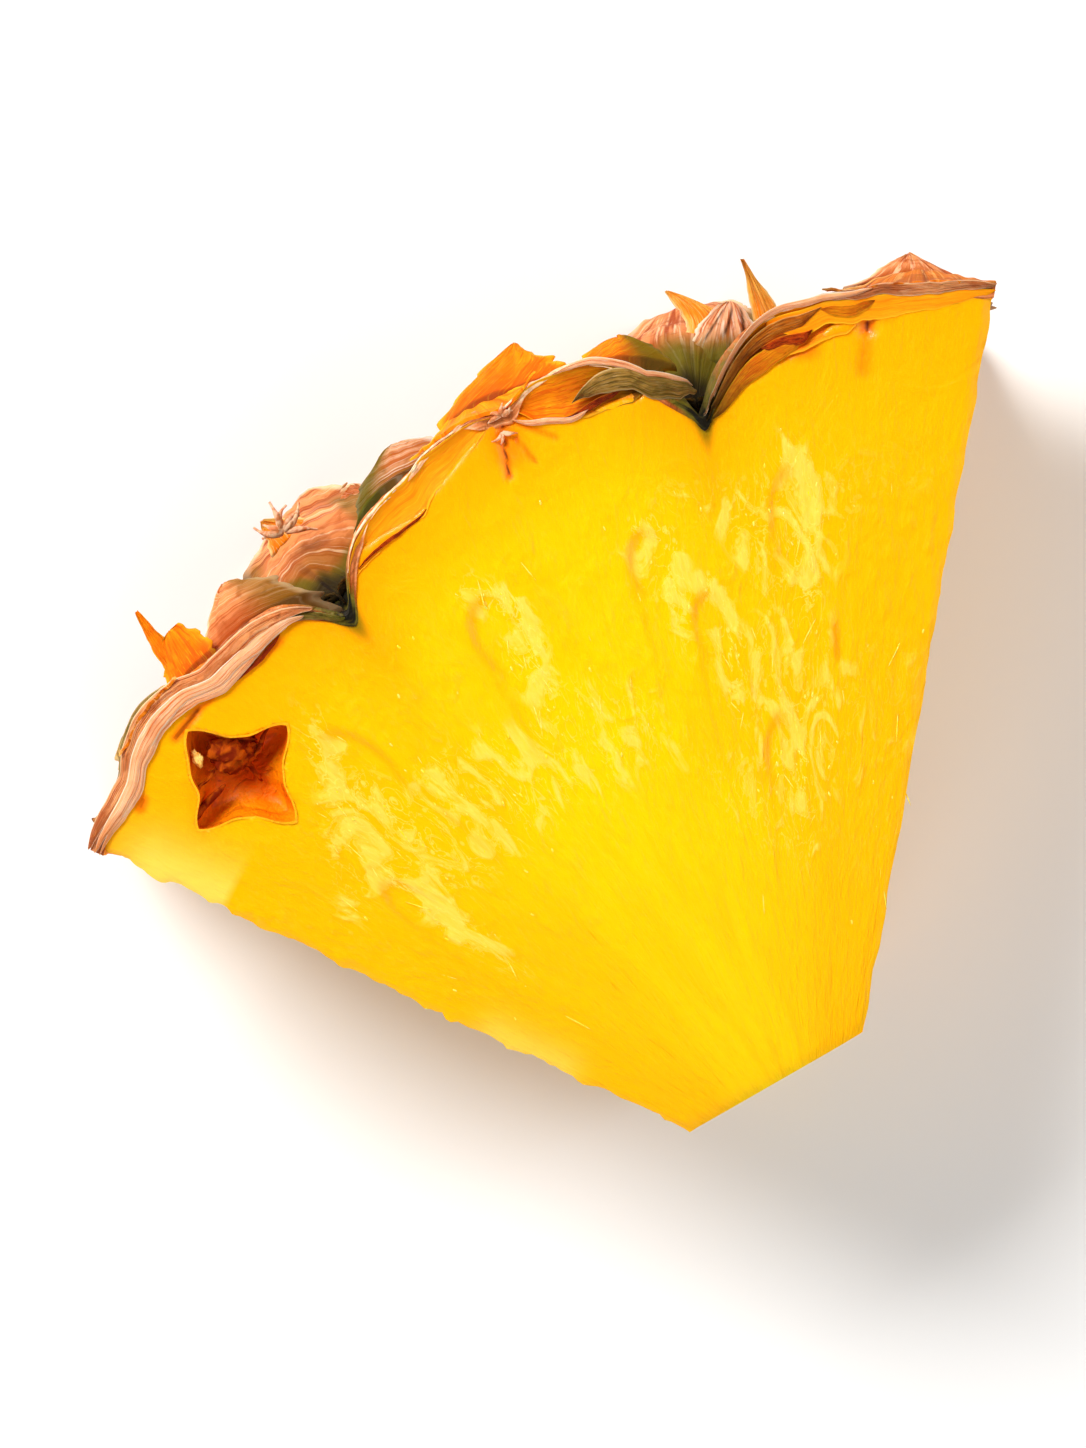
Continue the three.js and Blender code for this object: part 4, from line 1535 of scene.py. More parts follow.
@dataclass
class LeafTips:
    """All leaf tips, each a thin cupped sheet with a frayed margin."""

    fruit: Fruit
    leaves: tuple[Leaf, ...] = LEAVES
    across_steps: int = 26
    along_steps: int = 46
    root: float = 2.6
    thickness: float = 0.42
    tip_width: float = 0.3
    cupping: float = 0.14
    fray: float = 0.16
    wave: float = 0.16
    pleat: float = 0.05
    seed: int = 41

    def surface(self, leaf: Leaf, index: int) -> Surface:
        """One leaf.

        Args:
            leaf: Its sizes.
            index: Its number, which seeds its margin.

        Returns:
            Its surface.
        """
        unit, faces = box_lattice(self.across_steps, self.along_steps, 1)
        noise, fruit = Noise(self.seed + index), self.fruit
        turn, heading = math.radians(leaf.angle), math.radians(leaf.heading)
        lift, curl = math.radians(leaf.lift), math.radians(leaf.curl)
        outward = np.array((-math.sin(turn), math.cos(turn), 0.0))
        sideways = np.array((-math.cos(turn), -math.sin(turn), 0.0))
        crownward = np.array((0.0, 0.0, -1.0))
        growth = crownward * math.cos(heading) + sideways * math.sin(heading)
        across = sideways * math.cos(heading) - crownward * math.sin(heading)
        length = leaf.length + self.root
        root_radius = float(fruit.skin(np.array([leaf.angle]), np.array([leaf.height]))[0])
        root = fruit.place(leaf.angle, root_radius, leaf.height)
        root = root - self.root * (growth * math.cos(lift) + outward * math.sin(lift))

        side, along, layer = unit[:, 0] - 0.5, unit[:, 1], unit[:, 2] - 0.5
        to_margin = 2.0 * np.abs(side)
        beyond = np.maximum(0.0, 1.0 - (1.0 - along) * (length / leaf.length))
        width = (leaf.width - self.tip_width) * (1.0 - beyond) ** leaf.taper + self.tip_width
        frayed = 1.0 + self.fray * noise.fractal(along * 9.0, np.sign(side) * 4.0, 1.0, 3) * to_margin ** 3
        aslant = side * width * frayed
        foot_angle = leaf.angle + np.degrees(aslant * math.cos(heading) / root_radius)
        foot_radius = fruit.skin(foot_angle, leaf.height + aslant * math.sin(heading))
        bent = lift + curl * along
        normal = np.cross(across, growth * np.cos(bent)[:, None] + outward * np.sin(bent)[:, None])
        sheet = layer * self.thickness * (1.0 - 0.6 * along) * (1.0 - 0.55 * to_margin ** 2)
        cup = self.cupping * width * np.sqrt(along) * (1.0 - to_margin ** 2)
        wave = self.wave * noise.fractal(side * 4.0, along * 3.0, 2.0, 2) * along
        pleat = self.pleat * np.sin(side * 34.0 + 2.0 * noise.value(along * 2.0, 1.0, 3.0))
        stand = sheet - cup + wave + pleat * ease(along, 0.0, 0.3)
        sag = np.minimum(0.0, foot_radius - root_radius) * (1.0 - along)
        points = root + growth * (length * (np.sin(bent) - math.sin(lift)) / curl)[:, None]
        points = points + outward * (length * (math.cos(lift) - np.cos(bent)) / curl + sag)[:, None]
        points = points + across * (aslant + leaf.lean * along ** 2)[:, None] + normal * stand[:, None]
        points[:, 2] = np.clip(points[:, 2], 0.05, fruit.thickness + 0.1)
        return Surface(points, faces, self.values(leaf, index, side, beyond))

    def values(self, leaf: Leaf, index: int, side: ndarray, beyond: ndarray) -> dict[str, ndarray]:
        """The numbers that a leaf's finish reads.

        Args:
            leaf: The leaf's sizes.
            index: Its number.
            side: Places across it, -0.5 to 0.5.
            beyond: Places along the part that stands off the skin, 0 to 1.

        Returns:
            One number a point under each name.
        """
        green = leaf.green * (ease(beyond, 0.65, 0.15) if leaf.slits else np.ones(beyond.shape))
        if leaf.green > 0.0:
            green += 0.5 * (1.0 - leaf.green) * ease(beyond, 0.12, 0.0)
        green += abs(leaf.green_side) * ease(math.copysign(2.0, leaf.green_side) * side, -0.1, 0.7)
        dark = 0.6 * ease(beyond, 0.08, 0.0)
        # Painted shadow: dark lines across a fanned leaf's slits stand for the shade between its folds.
        if leaf.slits:
            slit_shadow = np.abs(np.cos(math.pi * leaf.slits * (side + 0.3 * (beyond - 0.5)))) ** 14
            slit_shadow *= ease(beyond, 0.3, 0.5) * ease(beyond, 0.95, 0.8)
            dark = np.maximum(dark, slit_shadow * ease(np.abs(side), 0.46, 0.36))
        return {
            "across": 2.0 * side,
            "vein": 2.0 * leaf.splay * side + leaf.skew * beyond,
            "along": beyond,
            "tint": np.full(side.shape, 3.7 * index),
            "green": green,
            "dark": dark,
        }

    def build(self, finishes: dict[Stuff, Material]) -> None:
        """Makes every leaf tip, of the material of its kind."""
        for index, leaf in enumerate(self.leaves):
            dress(self.surface(leaf, index).piece(f"leaf_{leaf.name}", finishes[leaf.stuff], PAPER_BEND))


@dataclass
class Scales:
    """The papery scale over each eye's lower half, in layers, and the small ones round its middle."""

    fruit: Fruit
    across_steps: int = 46
    along_steps: int = 56
    layers: int = 2
    reach: float = 15.6
    half_width: float = 9.6
    thickness: float = 0.26
    layer_gap: float = 0.3
    margin_curl: float = 0.35
    tip_lift: float = 0.25
    cut_tip_lift: float = 0.1
    turned_eye: float = 12.2
    low_eye: float = 15.0
    shown_face_gap: float = 0.12
    floor_gap: float = 0.1
    past_cut: float = 6.0
    layer_taper: float = 0.16
    border_gap: float = 0.15
    least_share: float = 0.08
    orange_within: float = 5.0
    brown_beyond: float = 25.0
    seed: int = 61

    def border(self, index: int, angle: float, height: ndarray, direction: float) -> ndarray:
        """How far an eye reaches to one side at each height.

        Args:
            index: The eye.
            angle: Its angle.
            height: Heights above the resting face.
            direction: 1 towards larger angles and -1 towards smaller ones.

        Returns:
            The reach in millimetres.
        """
        steps = np.linspace(0.0, self.half_width + 0.5, 70)
        grid_step, grid_height = np.meshgrid(steps, height)
        angles = angle + np.degrees(direction * grid_step / self.fruit.radius)
        near = self.fruit.eye_view(angles.ravel(), grid_height.ravel()).index.reshape(grid_step.shape)
        return steps[np.clip((near == index).sum(axis=1) - 1, 0, len(steps) - 1)]

    def surface(self, index: int, eye: ndarray, layer: int) -> Surface | None:
        """One layer of one eye's scale.

        Args:
            index: The eye.
            eye: Its angle and height.
            layer: Number of the layer: 0 is the innermost and largest.

        Returns:
            Its surface, or None where the cuts leave nothing of it.
        """
        fruit, noise = self.fruit, Noise(self.seed + 7 * index + layer)
        run, base = self.reach + 1.0, eye[1] + self.reach
        start = max(0.0, (base - fruit.thickness - self.shown_face_gap) / run)
        end = min(1.0, (base - self.floor_gap) / run)
        cut, low = start > 0.0, eye[1] < self.low_eye
        off_the_wedge = end - start < self.least_share or abs(eye[0]) > fruit.cut_angle + self.past_cut
        if off_the_wedge or (cut and layer and eye[1] > self.low_eye):
            return None
        unit, faces = box_lattice(self.across_steps, self.along_steps, 1)
        side, sheet = 2.0 * unit[:, 0] - 1.0, unit[:, 2] - 0.5
        along = start + (end - start) * unit[:, 1]
        height = base - along * run
        rows = np.linspace(start, end, self.along_steps + 1)
        row = np.rint(unit[:, 1] * self.along_steps).astype(int)
        full = (1.0 - self.layer_taper * layer) * self.half_width * np.sqrt(np.maximum(0.0, 1.0 - rows)) + 0.25
        left, right = [
            np.minimum(full, self.border(index, eye[0], base - rows * run, way) - self.border_gap)[row]
            for way in (1.0, -1.0)
        ]
        fray = 1.0 - 0.14 * np.abs(noise.fractal(along * 9.0, np.sign(side) * 5.0, 1.0, 3)) * np.abs(side) ** 4
        aside = side * np.maximum(np.where(side > 0.0, left, right), 0.1) * fray
        limit = fruit.cut_angle + 0.05
        angle = np.clip(eye[0] + np.degrees(aside / fruit.radius), -limit, limit)
        skin = fruit.skin(angle, np.clip(height, 0.0, fruit.thickness))
        lift = (0.02 if cut else 0.12) + self.layer_gap * layer + self.margin_curl * np.abs(side) ** 5
        tip_lift = self.tip_lift if low else self.cut_tip_lift
        lift = lift + tip_lift * ease(along, 0.72, 1.0) * (1.0 - 0.5 * layer)
        lift = lift + 0.1 * noise.fractal(aside * 0.6, height * 0.5, 3.0, 2)
        lift = lift * (0.1 + 0.9 * ease(fruit.cut_angle - np.abs(angle), 0.0, 5.0))
        pleat = 0.045 * np.sin(aside * 5.2 + 1.5 * noise.value(aside * 0.4, height * 0.3, 5.0))
        thick = self.thickness * (1.0 - 0.6 * np.abs(side) ** 3) * (1.0 - 0.5 * ease(along, 0.8, 1.0))
        points = fruit.place(angle, skin + lift + pleat + sheet * thick, np.minimum(height, fruit.thickness + 0.2))
        ragged = noise.fractal(aside * 1.7, 2.0, 4.0, 3)
        points[:, 2] += np.where(unit[:, 1] < 1e-6, 0.12 * ragged, 0.0)
        near_border = np.minimum(left, right) - np.abs(aside)
        facets = 0.5 + 0.5 * noise.value(side * 5.0, along * 1.5, 6.0)
        green = 0.85 * ease(near_border - 2.0 * facets, 2.0, 0.1) * ease(along, 0.8, 0.45)
        along_rim = abs(eye[0] - self.turned_eye) < 1.0 and abs(eye[1]) < 8.0
        foot = ease(along - 0.14 * facets, 0.32, 0.1) * (0.4 if along_rim else 1.0)
        green = np.maximum(green, 0.9 * foot)
        values = {
            "across": side,
            "vein": 0.25 * side + 0.16 * height if along_rim else side,
            "along": np.clip(along, 0.0, 1.0),
            "tint": np.full(side.shape, 2.3 * index + layer),
            "green": green,
            "dark": np.maximum(
                0.94 * ease(near_border + 0.5 * facets, 1.3, 0.35) * ease(along, 0.85, 0.5),
                0.9 * ease(along - 0.06 * facets, 0.13, 0.05) + 0.8 * foot * ease(facets, 0.46, 0.26),
            ),
        }
        return Surface(points, faces, values)

    def stuff(self, angle: float) -> Stuff:
        """The kind of leaf that the scale of an eye is made of: orange in the middle and brown at both ends.

        Args:
            angle: The eye's angle.

        Returns:
            The kind of its scale.
        """
        if abs(angle) < self.orange_within:
            return Stuff.ORANGE
        return Stuff.BROWN if abs(angle) > self.brown_beyond else Stuff.SALMON

    def build(self, finishes: dict[Stuff, Material]) -> None:
        """Makes every scale that the cuts leave.

        Args:
            finishes: The material of each kind of leaf.
        """
        for index, eye in enumerate(self.fruit.eyes()):
            for layer in range(self.layers):
                surface = self.surface(index, eye, layer)
                if surface is not None:
                    finish = finishes[self.stuff(eye[0])]
                    dress(surface.piece(f"scale_{index}_{layer}", finish, PAPER_BEND))


@dataclass(frozen=True)
class Strip:
    """A papery layer that follows the rim of a round-cut face from one angle to a smaller one.

    Offset is how far in from the skin the layer starts and width how far in it reaches, each at
    its start, middle and end. Outer and inner rise are how far its margins stand out of the face,
    and bulge how far its middle does beyond them: below 0 it is a trough.
    """

    name: str
    stuff: Stuff
    start: float
    end: float
    offset: tuple[float, float, float]
    width: tuple[float, float, float]
    outer_rise: float
    inner_rise: float
    bulge: float
    green: tuple[float, float] = (0.0, 0.0)
    dark: tuple[float, float] = (0.0, 0.0)
    height: float = 24.0


STRIPS = (
    Strip(
        "left_lens", Stuff.OLIVE, 32.6, 23.6, (-0.2, -0.55, -0.1), (0.4, 1.1, 0.4), -1.2, -0.2, 0.3,
        (0.3, 0.3), (0.1, 0.1),
    ),
    Strip("left_outer", Stuff.SALMON, 37.2, 13.8, (-0.2, -0.3, -0.1), (0.8, 1.2, 1.0), -0.4, 0.3, 0.12),
    Strip("left_middle", Stuff.PINK, 37.2, 14.6, (0.3, 0.6, 0.6), (0.6, 1.0, 0.8), 0.3, 0.26, 0.14),
    Strip("left_inner", Stuff.PINK, 37.2, 16.0, (0.7, 1.4, 1.1), (0.35, 0.6, 0.5), 0.22, 0.12, 0.08),
    Strip("left_red", Stuff.RED, 22.2, 16.8, (1.7, 1.85, 1.5), (0.15, 0.3, 0.2), 0.04, 0.02, 0.03),
    Strip("first_notch", Stuff.OLIVE, 17.6, 12.4, (0.5, 0.3, 0.1), (0.3, 0.8, 0.5), 0.1, 0.1, 0.1, (0.3, 0.9)),
    Strip("first_trough", Stuff.TROUGH, 11.0, -4.0, (0.16, 0.2, 0.3), (0.5, 2.6, 0.8), 0.12, -0.06, -0.4),
    Strip("first_edge", Stuff.RED, 9.4, 3.0, (1.1, 2.3, 2.65), (0.12, 0.26, 0.12), 0.0, 0.03, 0.02),
    Strip(
        "second_trough", Stuff.ORANGE, -5.1, -14.6, (0.16, 0.2, 0.3), (0.8, 3.6, 0.8), 0.12, -0.05, -0.5,
        (0.0, 0.9), (0.0, 0.5),
    ),
    Strip("second_line", Stuff.PINK, -5.0, -10.2, (0.9, 2.9, 3.3), (0.25, 0.4, 0.25), 0.12, 0.1, 0.12),
    Strip(
        "second_edge", Stuff.RED, -8.4, -12.6, (3.2, 3.0, 1.9), (0.2, 0.5, 0.3), 0.08, 0.06, 0.05,
        (0.0, 0.0), (0.3, 0.5),
    ),
    Strip(
        "second_olive", Stuff.OLIVE, -9.2, -17.7, (2.6, -0.2, -1.9), (0.25, 1.75, 1.0), 0.24, 0.1, 0.25,
        (0.0, 0.4), (0.0, 0.5),
    ),
    Strip(
        "second_crest", Stuff.PINK, -8.6, -17.5, (0.2, -0.5, -2.1), (0.3, 0.55, 0.4), 0.3, 0.25, 0.1,
        (0.0, 0.3), (0.0, 0.4),
    ),
    Strip(
        "third_trough", Stuff.ORANGE, -18.4, -29.6, (0.16, 0.2, 0.3), (0.5, 3.3, 1.6), 0.1, 0.0, -0.5,
        (0.5, 0.0), (0.5, 0.0),
    ),
    Strip(
        "third_outer", Stuff.PINK, -17.9, -29.6, (-0.2, -0.2, 0.0), (0.4, 0.5, 0.4), 0.34, 0.2, 0.1,
        (0.5, 0.0), (0.6, 0.0),
    ),
    Strip(
        "third_middle", Stuff.BROWN, -18.0, -26.4, (0.3, 0.6, 0.8), (0.5, 1.2, 0.6), 0.24, -0.1, 0.15,
        (0.7, 0.0), (0.7, 0.0),
    ),
    Strip(
        "third_inner", Stuff.ORANGE, -18.3, -25.6, (1.0, 1.9, 2.2), (0.4, 1.4, 0.9), 0.12, -0.02, 0.12,
        (0.9, 0.0), (0.4, 0.1),
    ),
    Strip(
        "third_knob", Stuff.RED, -22.4, -25.8, (1.9, 1.9, 2.0), (0.4, 0.9, 0.5), 0.12, 0.08, 0.14,
        (0.0, 0.0), (0.2, 0.0),
    ),
    Strip(
        "right_spot", Stuff.ORANGE, -26.4, -29.8, (0.9, 0.85, 0.9), (0.3, 0.85, 0.4), 0.15, 0.12, 0.03,
        (0.0, 0.0), (0.1, 0.35),
    ),
    Strip(
        "right_crest", Stuff.SALMON, -25.6, -37.2, (-0.15, -0.1, -0.1), (0.3, 0.8, 0.6), 0.06, 0.16, 0.08,
        (0.0, 0.0), (0.1, 0.1),
    ),
    Strip("right_inner", Stuff.TROUGH, -22.8, -37.2, (0.4, 0.5, 0.4), (1.8, 1.6, 0.9), 0.08, 0.0, 0.02),
    Strip(
        "lower_left_trough", Stuff.TROUGH, 24.4, 13.6, (0.24, 0.26, 0.3), (0.4, 2.3, 0.6), 0.0, 0.0, -0.6,
        height=0.0,
    ),
    Strip(
        "lower_right_trough", Stuff.TROUGH, -19.6, -29.4, (0.24, 0.26, 0.3), (0.4, 2.3, 0.6), 0.0, 0.0,
        -0.6, height=0.0,
    ),
)


@dataclass
class RimLayers:
    """The layers of papery skin that the round cuts show edge-on along the rim."""

    fruit: Fruit
    strips: tuple[Strip, ...] = STRIPS
    along_steps: int = 150
    across_steps: int = 14
    thickness: float = 0.2
    end_taper: float = 7.0
    under_face: float = 0.02
    seed: int = 91

    def surface(self, strip: Strip, index: int) -> Surface:
        """One layer.

        Args:
            strip: Its sizes.
            index: Its number, which seeds its waves.

        Returns:
            Its surface.
        """
        unit, faces = box_lattice(self.along_steps, self.across_steps, 1)
        noise = Noise(self.seed + index)
        along, outwards, sheet = unit[:, 0], unit[:, 1], unit[:, 2] - 0.5
        angle = strip.start + (strip.end - strip.start) * along
        arc = np.radians(angle) * self.fruit.radius
        out = facing(strip.height)
        taper = np.sqrt(np.clip(np.minimum(along, 1.0 - along) * self.end_taper, 0.0, 1.0))
        wander = (0.07 + 0.09 * ease(angle, -25.0, -28.0)) * noise.fractal(arc * 0.45, 1.0, 1.0, 3)
        fray = 1.0 + (0.06 if strip.bulge < 0.0 else 0.12) * noise.fractal(arc * 0.6, 4.0, 2.0, 3)
        width = np.maximum(self.through(strip.width, along) * taper * fray, 0.05)
        skin = self.fruit.skin(angle, np.full(angle.shape, strip.height))
        radius = skin - self.through(strip.offset, along) - wander - width * (1.0 - outwards)
        rise = strip.outer_rise * outwards + strip.inner_rise * (1.0 - outwards)
        rise = rise + strip.bulge * taper * np.sin(np.pi * outwards) ** 0.8
        rise = rise + 0.05 * noise.fractal(arc * 0.4, outwards * 2.2, 7.0, 3)
        rise = rise + sheet * self.thickness * (0.4 + 0.6 * taper)
        if out < 0.0:
            rise = np.minimum(rise, -self.under_face - 0.1 * (0.5 - sheet))
            faces = [face[::-1] for face in faces]
        values = {
            "across": 2.0 * outwards - 1.0,
            "vein": 2.0 * outwards - 1.0,
            "along": along * 3.0,
            "tint": np.full(along.shape, 5.1 * index),
            "green": self.between(strip.green, along),
            "dark": self.between(strip.dark, along),
        }
        return Surface(self.fruit.place(angle, radius, strip.height + out * rise), faces, values)

    @staticmethod
    def between(levels: tuple[float, float], along: ndarray) -> ndarray:
        """Goes from the level at the start to the one at the end, most of the way near the larger."""
        share = 1.0 - (1.0 - along) ** 2.5 if levels[0] > levels[1] else along ** 2.5
        return levels[0] + (levels[1] - levels[0]) * share

    @staticmethod
    def through(levels: tuple[float, float, float], along: ndarray) -> ndarray:
        """A smooth curve through the levels at the start, the middle and the end.

        Args:
            levels: The three levels.
            along: Places along the layer, 0 to 1.

        Returns:
            The level at each place.
        """
        start, middle, end = levels
        ends = (2.0 * along - 1.0) * (start * (along - 1.0) + end * along)
        return ends + 4.0 * middle * along * (1.0 - along)

    def build(self, finishes: dict[Stuff, Material]) -> None:
        """Makes every layer, of the material of its kind."""
        for index, strip in enumerate(self.strips):
            dress(self.surface(strip, index).piece(f"rim_{strip.name}", finishes[strip.stuff], PAPER_BEND))


class GeometryTree(Nodes):
    """A Geometry Nodes tree with named inputs, for pieces that repeat or follow a path."""

    def __init__(self, name: str) -> None:
        """Starts a tree of that name, with geometry in and out.

        Args:
            name: Name of the tree.
        """
        super().__init__(bpy.data.node_groups.new(name, "GeometryNodeTree"))
        for way in ("INPUT", "OUTPUT"):
            self.tree.interface.new_socket(name="Geometry", in_out=way, socket_type="NodeSocketGeometry")
        self.start, self.end = self.node("NodeGroupInput"), self.node("NodeGroupOutput")
        self.identifiers: dict[str, str] = {}

    def input(self, name: str, kind: str = "Float") -> NodeSocket:
        """Adds a named input and gives its socket.

        Args:
            name: Name of the input.
            kind: Its type of socket.

        Returns:
            The socket that the tree's nodes read.
        """
        item = self.tree.interface.new_socket(name=name, in_out="INPUT", socket_type=f"NodeSocket{kind}")
        self.identifiers[name] = item.identifier
        return self.start.outputs[name]

    def finish(self, geometry: NodeSocket, material: Material) -> None:
        """Ends the tree: realises the instances and sets their material.

        Args:
            geometry: What the tree has made.
            material: The material of all of it.
        """
        realised = self.out("GeometryNodeRealizeInstances", {"Geometry": geometry})
        smooth = self.out("GeometryNodeSetShadeSmooth", {"Geometry": realised})
        self.fill(self.end, {0: self.out("GeometryNodeSetMaterial", {"Geometry": smooth, "Material": material})})

    def grow(self, name: str, source: Mesh, values: dict[str, object]) -> Object:
        """Runs the tree on a mesh and keeps the result as a plain piece.

        Args:
            name: Name of the piece.
            source: The mesh that the tree starts from.
            values: The inputs' values, by name.

        Returns:
            The piece.
        """
        piece = bpy.data.objects.new(name, source.copy())
        modifier = piece.modifiers.new(name, "NODES")
        modifier.node_group = self.tree
        for label, value in values.items():
            modifier[self.identifiers[label]] = value
        bpy.context.scene.collection.objects.link(piece)
        return settle(piece)


@dataclass
class Grains:
    """Small long bodies that lie along the fibres on the cut faces, such as juice sacs and threads."""

    fruit: Fruit
    name: str
    density: float
    length: tuple[float, float]
    width: tuple[float, float]
    sink: float
    seed: int
    weight: str = "grain"
    stray: tuple[float, float, float] = (16.0, 16.0, 2.0)
    segments: int = 8
    rings: int = 5

    @staticmethod
    def random(g: GeometryTree, low: object, high: object, seed: object) -> NodeSocket:
        """A random number for each grain, from low to high."""
        drawn = g.node("FunctionNodeRandomValue", {2: low, 3: high, "Seed": seed}, data_type="FLOAT")
        return drawn.outputs[1]

    def tree(self, material: Material) -> GeometryTree:
        """The tree that scatters the grains by a weight that the points keep.

        Args:
            material: Material of the grains.

        Returns:
            The tree.
        """
        g = GeometryTree(self.name)
        density, seed = g.input("Density"), g.input("Seed", "Int")
        shortest, longest, thinnest, thickest = [g.input(n) for n in ("Shortest", "Longest", "Thinnest", "Thickest")]
        weight = g.out("GeometryNodeInputNamedAttribute", {"Name": self.weight}, data_type="FLOAT")
        amount = g.out("ShaderNodeMath", {0: density, 1: weight}, operation="MULTIPLY")
        surface = {"Mesh": g.start.outputs[0], "Density": amount, "Seed": seed}
        spread = g.node("GeometryNodeDistributePointsOnFaces", surface)

        axis = (0.0, -self.fruit.axis_to_origin * MM, 0.0)
        away = g.out("ShaderNodeVectorMath", {0: g.out("GeometryNodeInputPosition"), 1: axis}, operation="SUBTRACT")
        flat = g.out("ShaderNodeVectorMath", {0: away, 1: (1.0, 1.0, 0.0)}, operation="MULTIPLY")
        most = tuple(reach * MM for reach in self.stray)
        least = tuple(-reach for reach in most)
        stray = g.out("FunctionNodeRandomValue", {0: least, 1: most, "Seed": seed}, data_type="FLOAT_VECTOR")
        heading = g.out("ShaderNodeVectorMath", {0: flat, 1: stray}, operation="ADD")
        turn = g.out("FunctionNodeAlignRotationToVector", {"Vector": heading}, axis="X")

        length, width = self.random(g, shortest, longest, seed), self.random(g, thinnest, thickest, seed)
        bead = {"Segments": self.segments, "Rings": self.rings, "Radius": 1.0}
        grain = {
            "Points": spread.outputs["Points"],
            "Instance": g.out("GeometryNodeMeshUVSphere", bead),
            "Rotation": turn,
            "Scale": g.out("ShaderNodeCombineXYZ", {0: length, 1: width, 2: width}),
        }
        drop = {0: spread.outputs["Normal"], "Scale": -self.sink * MM}
        sunk = {
            "Instances": g.out("GeometryNodeInstanceOnPoints", grain),
            "Translation": g.out("ShaderNodeVectorMath", drop, operation="SCALE"),
            "Local Space": False,
        }
        g.finish(g.out("GeometryNodeTranslateInstances", sunk), material)
        return g

    def build(self, flesh: Object, material: Material) -> None:
        """Scatters the grains over the flesh.

        Args:
            flesh: The finished flesh.
            material: Material of the grains.
        """
        values = {"Density": self.density / MM ** 2, "Seed": self.seed}
        sizes = (*self.length, *self.width)
        for name, size in zip(("Shortest", "Longest", "Thinnest", "Thickest"), sizes):
            values[name] = size * MM / 2.0
        dress(self.tree(material).grow(self.name, flesh.data, values))


@dataclass(frozen=True)
class Thread:
    """A thin thing that follows a path: points in millimetres and a thickness at each."""

    points: ndarray
    thickness: ndarray


@dataclass
class Threads:
    """Threads of one kind, made as tubes along their paths."""

    name: str
    slot: Slot
    paths: list[Thread]
    sides: int = 8

    def build(self, material: Material) -> None:
        """Makes the tubes.

        Args:
            material: Their material.
        """
        g = GeometryTree(self.name)
        sides = g.input("Sides", "Int")
        curve = g.out("GeometryNodeMeshToCurve", {"Mesh": g.start.outputs[0]})
        thick = g.out("GeometryNodeInputNamedAttribute", {"Name": "thickness"}, data_type="FLOAT")
        ring = g.out("GeometryNodeCurvePrimitiveCircle", {"Resolution": sides, "Radius": 0.5}, mode="RADIUS")
        tube = {
            "Curve": g.out("GeometryNodeSetCurveRadius", {"Curve": curve, "Radius": thick}),
            "Profile Curve": ring,
            "Scale": thick,
            "Fill Caps": True,
        }
        g.finish(g.out("GeometryNodeCurveToMesh", tube), material)
        edges, first = [], 0
        for path in self.paths:
            edges += [(first + i, first + i + 1) for i in range(len(path.points) - 1)]
            first += len(path.points)
        source = bpy.data.meshes.new(f"{self.name}_paths")
        source.from_pydata((np.concatenate([path.points for path in self.paths]) * MM).tolist(), edges, [])
        set_values(source, "thickness", np.concatenate([path.thickness for path in self.paths]) * MM)
        piece = g.grow(self.name, source, {"Sides": self.sides})
        bpy.data.meshes.remove(source)
        dress(piece)


@dataclass
class RimThreads:
    """The pale edges of the papery skin round each gap, and the dark lines where its wall meets the flesh."""

    fruit: Fruit
    pale_offset: float = 0.16
    pale_thickness: float = 0.2
    pale_overrun: float = 1.2
    dark_thickness: float = 0.3
    dark_overrun: float = -1.6
    over_shown_face: float = 0.05
    over_floor: float = 0.24
    steps: int = 60
    seed: int = 71

    def edge(self, gap: Gap, offset: float, thickness: float, overrun: float) -> Thread:
        """A thread along a gap's side.

        Args:
            gap: The gap.
            offset: How far inside the skin it runs, at the gap's middle.
            thickness: Its greatest thickness.
            overrun: How far it goes past the gap's ends, in degrees.

        Returns:
            The thread.
        """
        noise = Noise(self.seed + round(10.0 * abs(gap.start)) + round(10.0 * offset))
        angle = np.linspace(gap.start + overrun, gap.end - overrun, self.steps)
        skin = self.fruit.skin(angle, np.full(angle.shape, gap.height))
        wander = 0.08 * noise.fractal(angle * 0.8, 1.0, 2.0, 3)
        radius = skin - offset * (0.2 + 0.8 * gap.fullness(angle)) + wander
        ends = np.sin(np.pi * np.linspace(0.0, 1.0, self.steps)) ** 0.5
        size = thickness * (0.25 + 0.75 * ends) * (1.0 + 0.4 * noise.fractal(angle * 1.3, 5.0, 1.0, 2))
        height = gap.height + (self.over_shown_face if gap.height > 0.0 else self.over_floor)
        level = height + 0.06 * noise.fractal(angle * 0.9, 9.0, 3.0, 2)
        return Thread(self.fruit.place(angle, radius, level), np.maximum(size, 0.04))

    def build(self, pale: Material, dark: Material) -> None:
        """Makes both kinds; the dark lines only on the resting face.

        Args:
            pale: Material of the pale edges.
            dark: Material of the dark lines.
        """
        gaps = self.fruit.gaps
        edges = [self.edge(gap, self.pale_offset, self.pale_thickness, self.pale_overrun) for gap in gaps]
        lines = [
            self.edge(gap, gap.inset + gap.width / 2.0 - 0.1, self.dark_thickness, self.dark_overrun)
            for gap in gaps
            if gap.height == 0.0
        ]
        Threads("rind_pale_edges", Slot.RIND, edges).build(pale)
        Threads("rind_dark_edges", Slot.RIND, lines).build(dark)


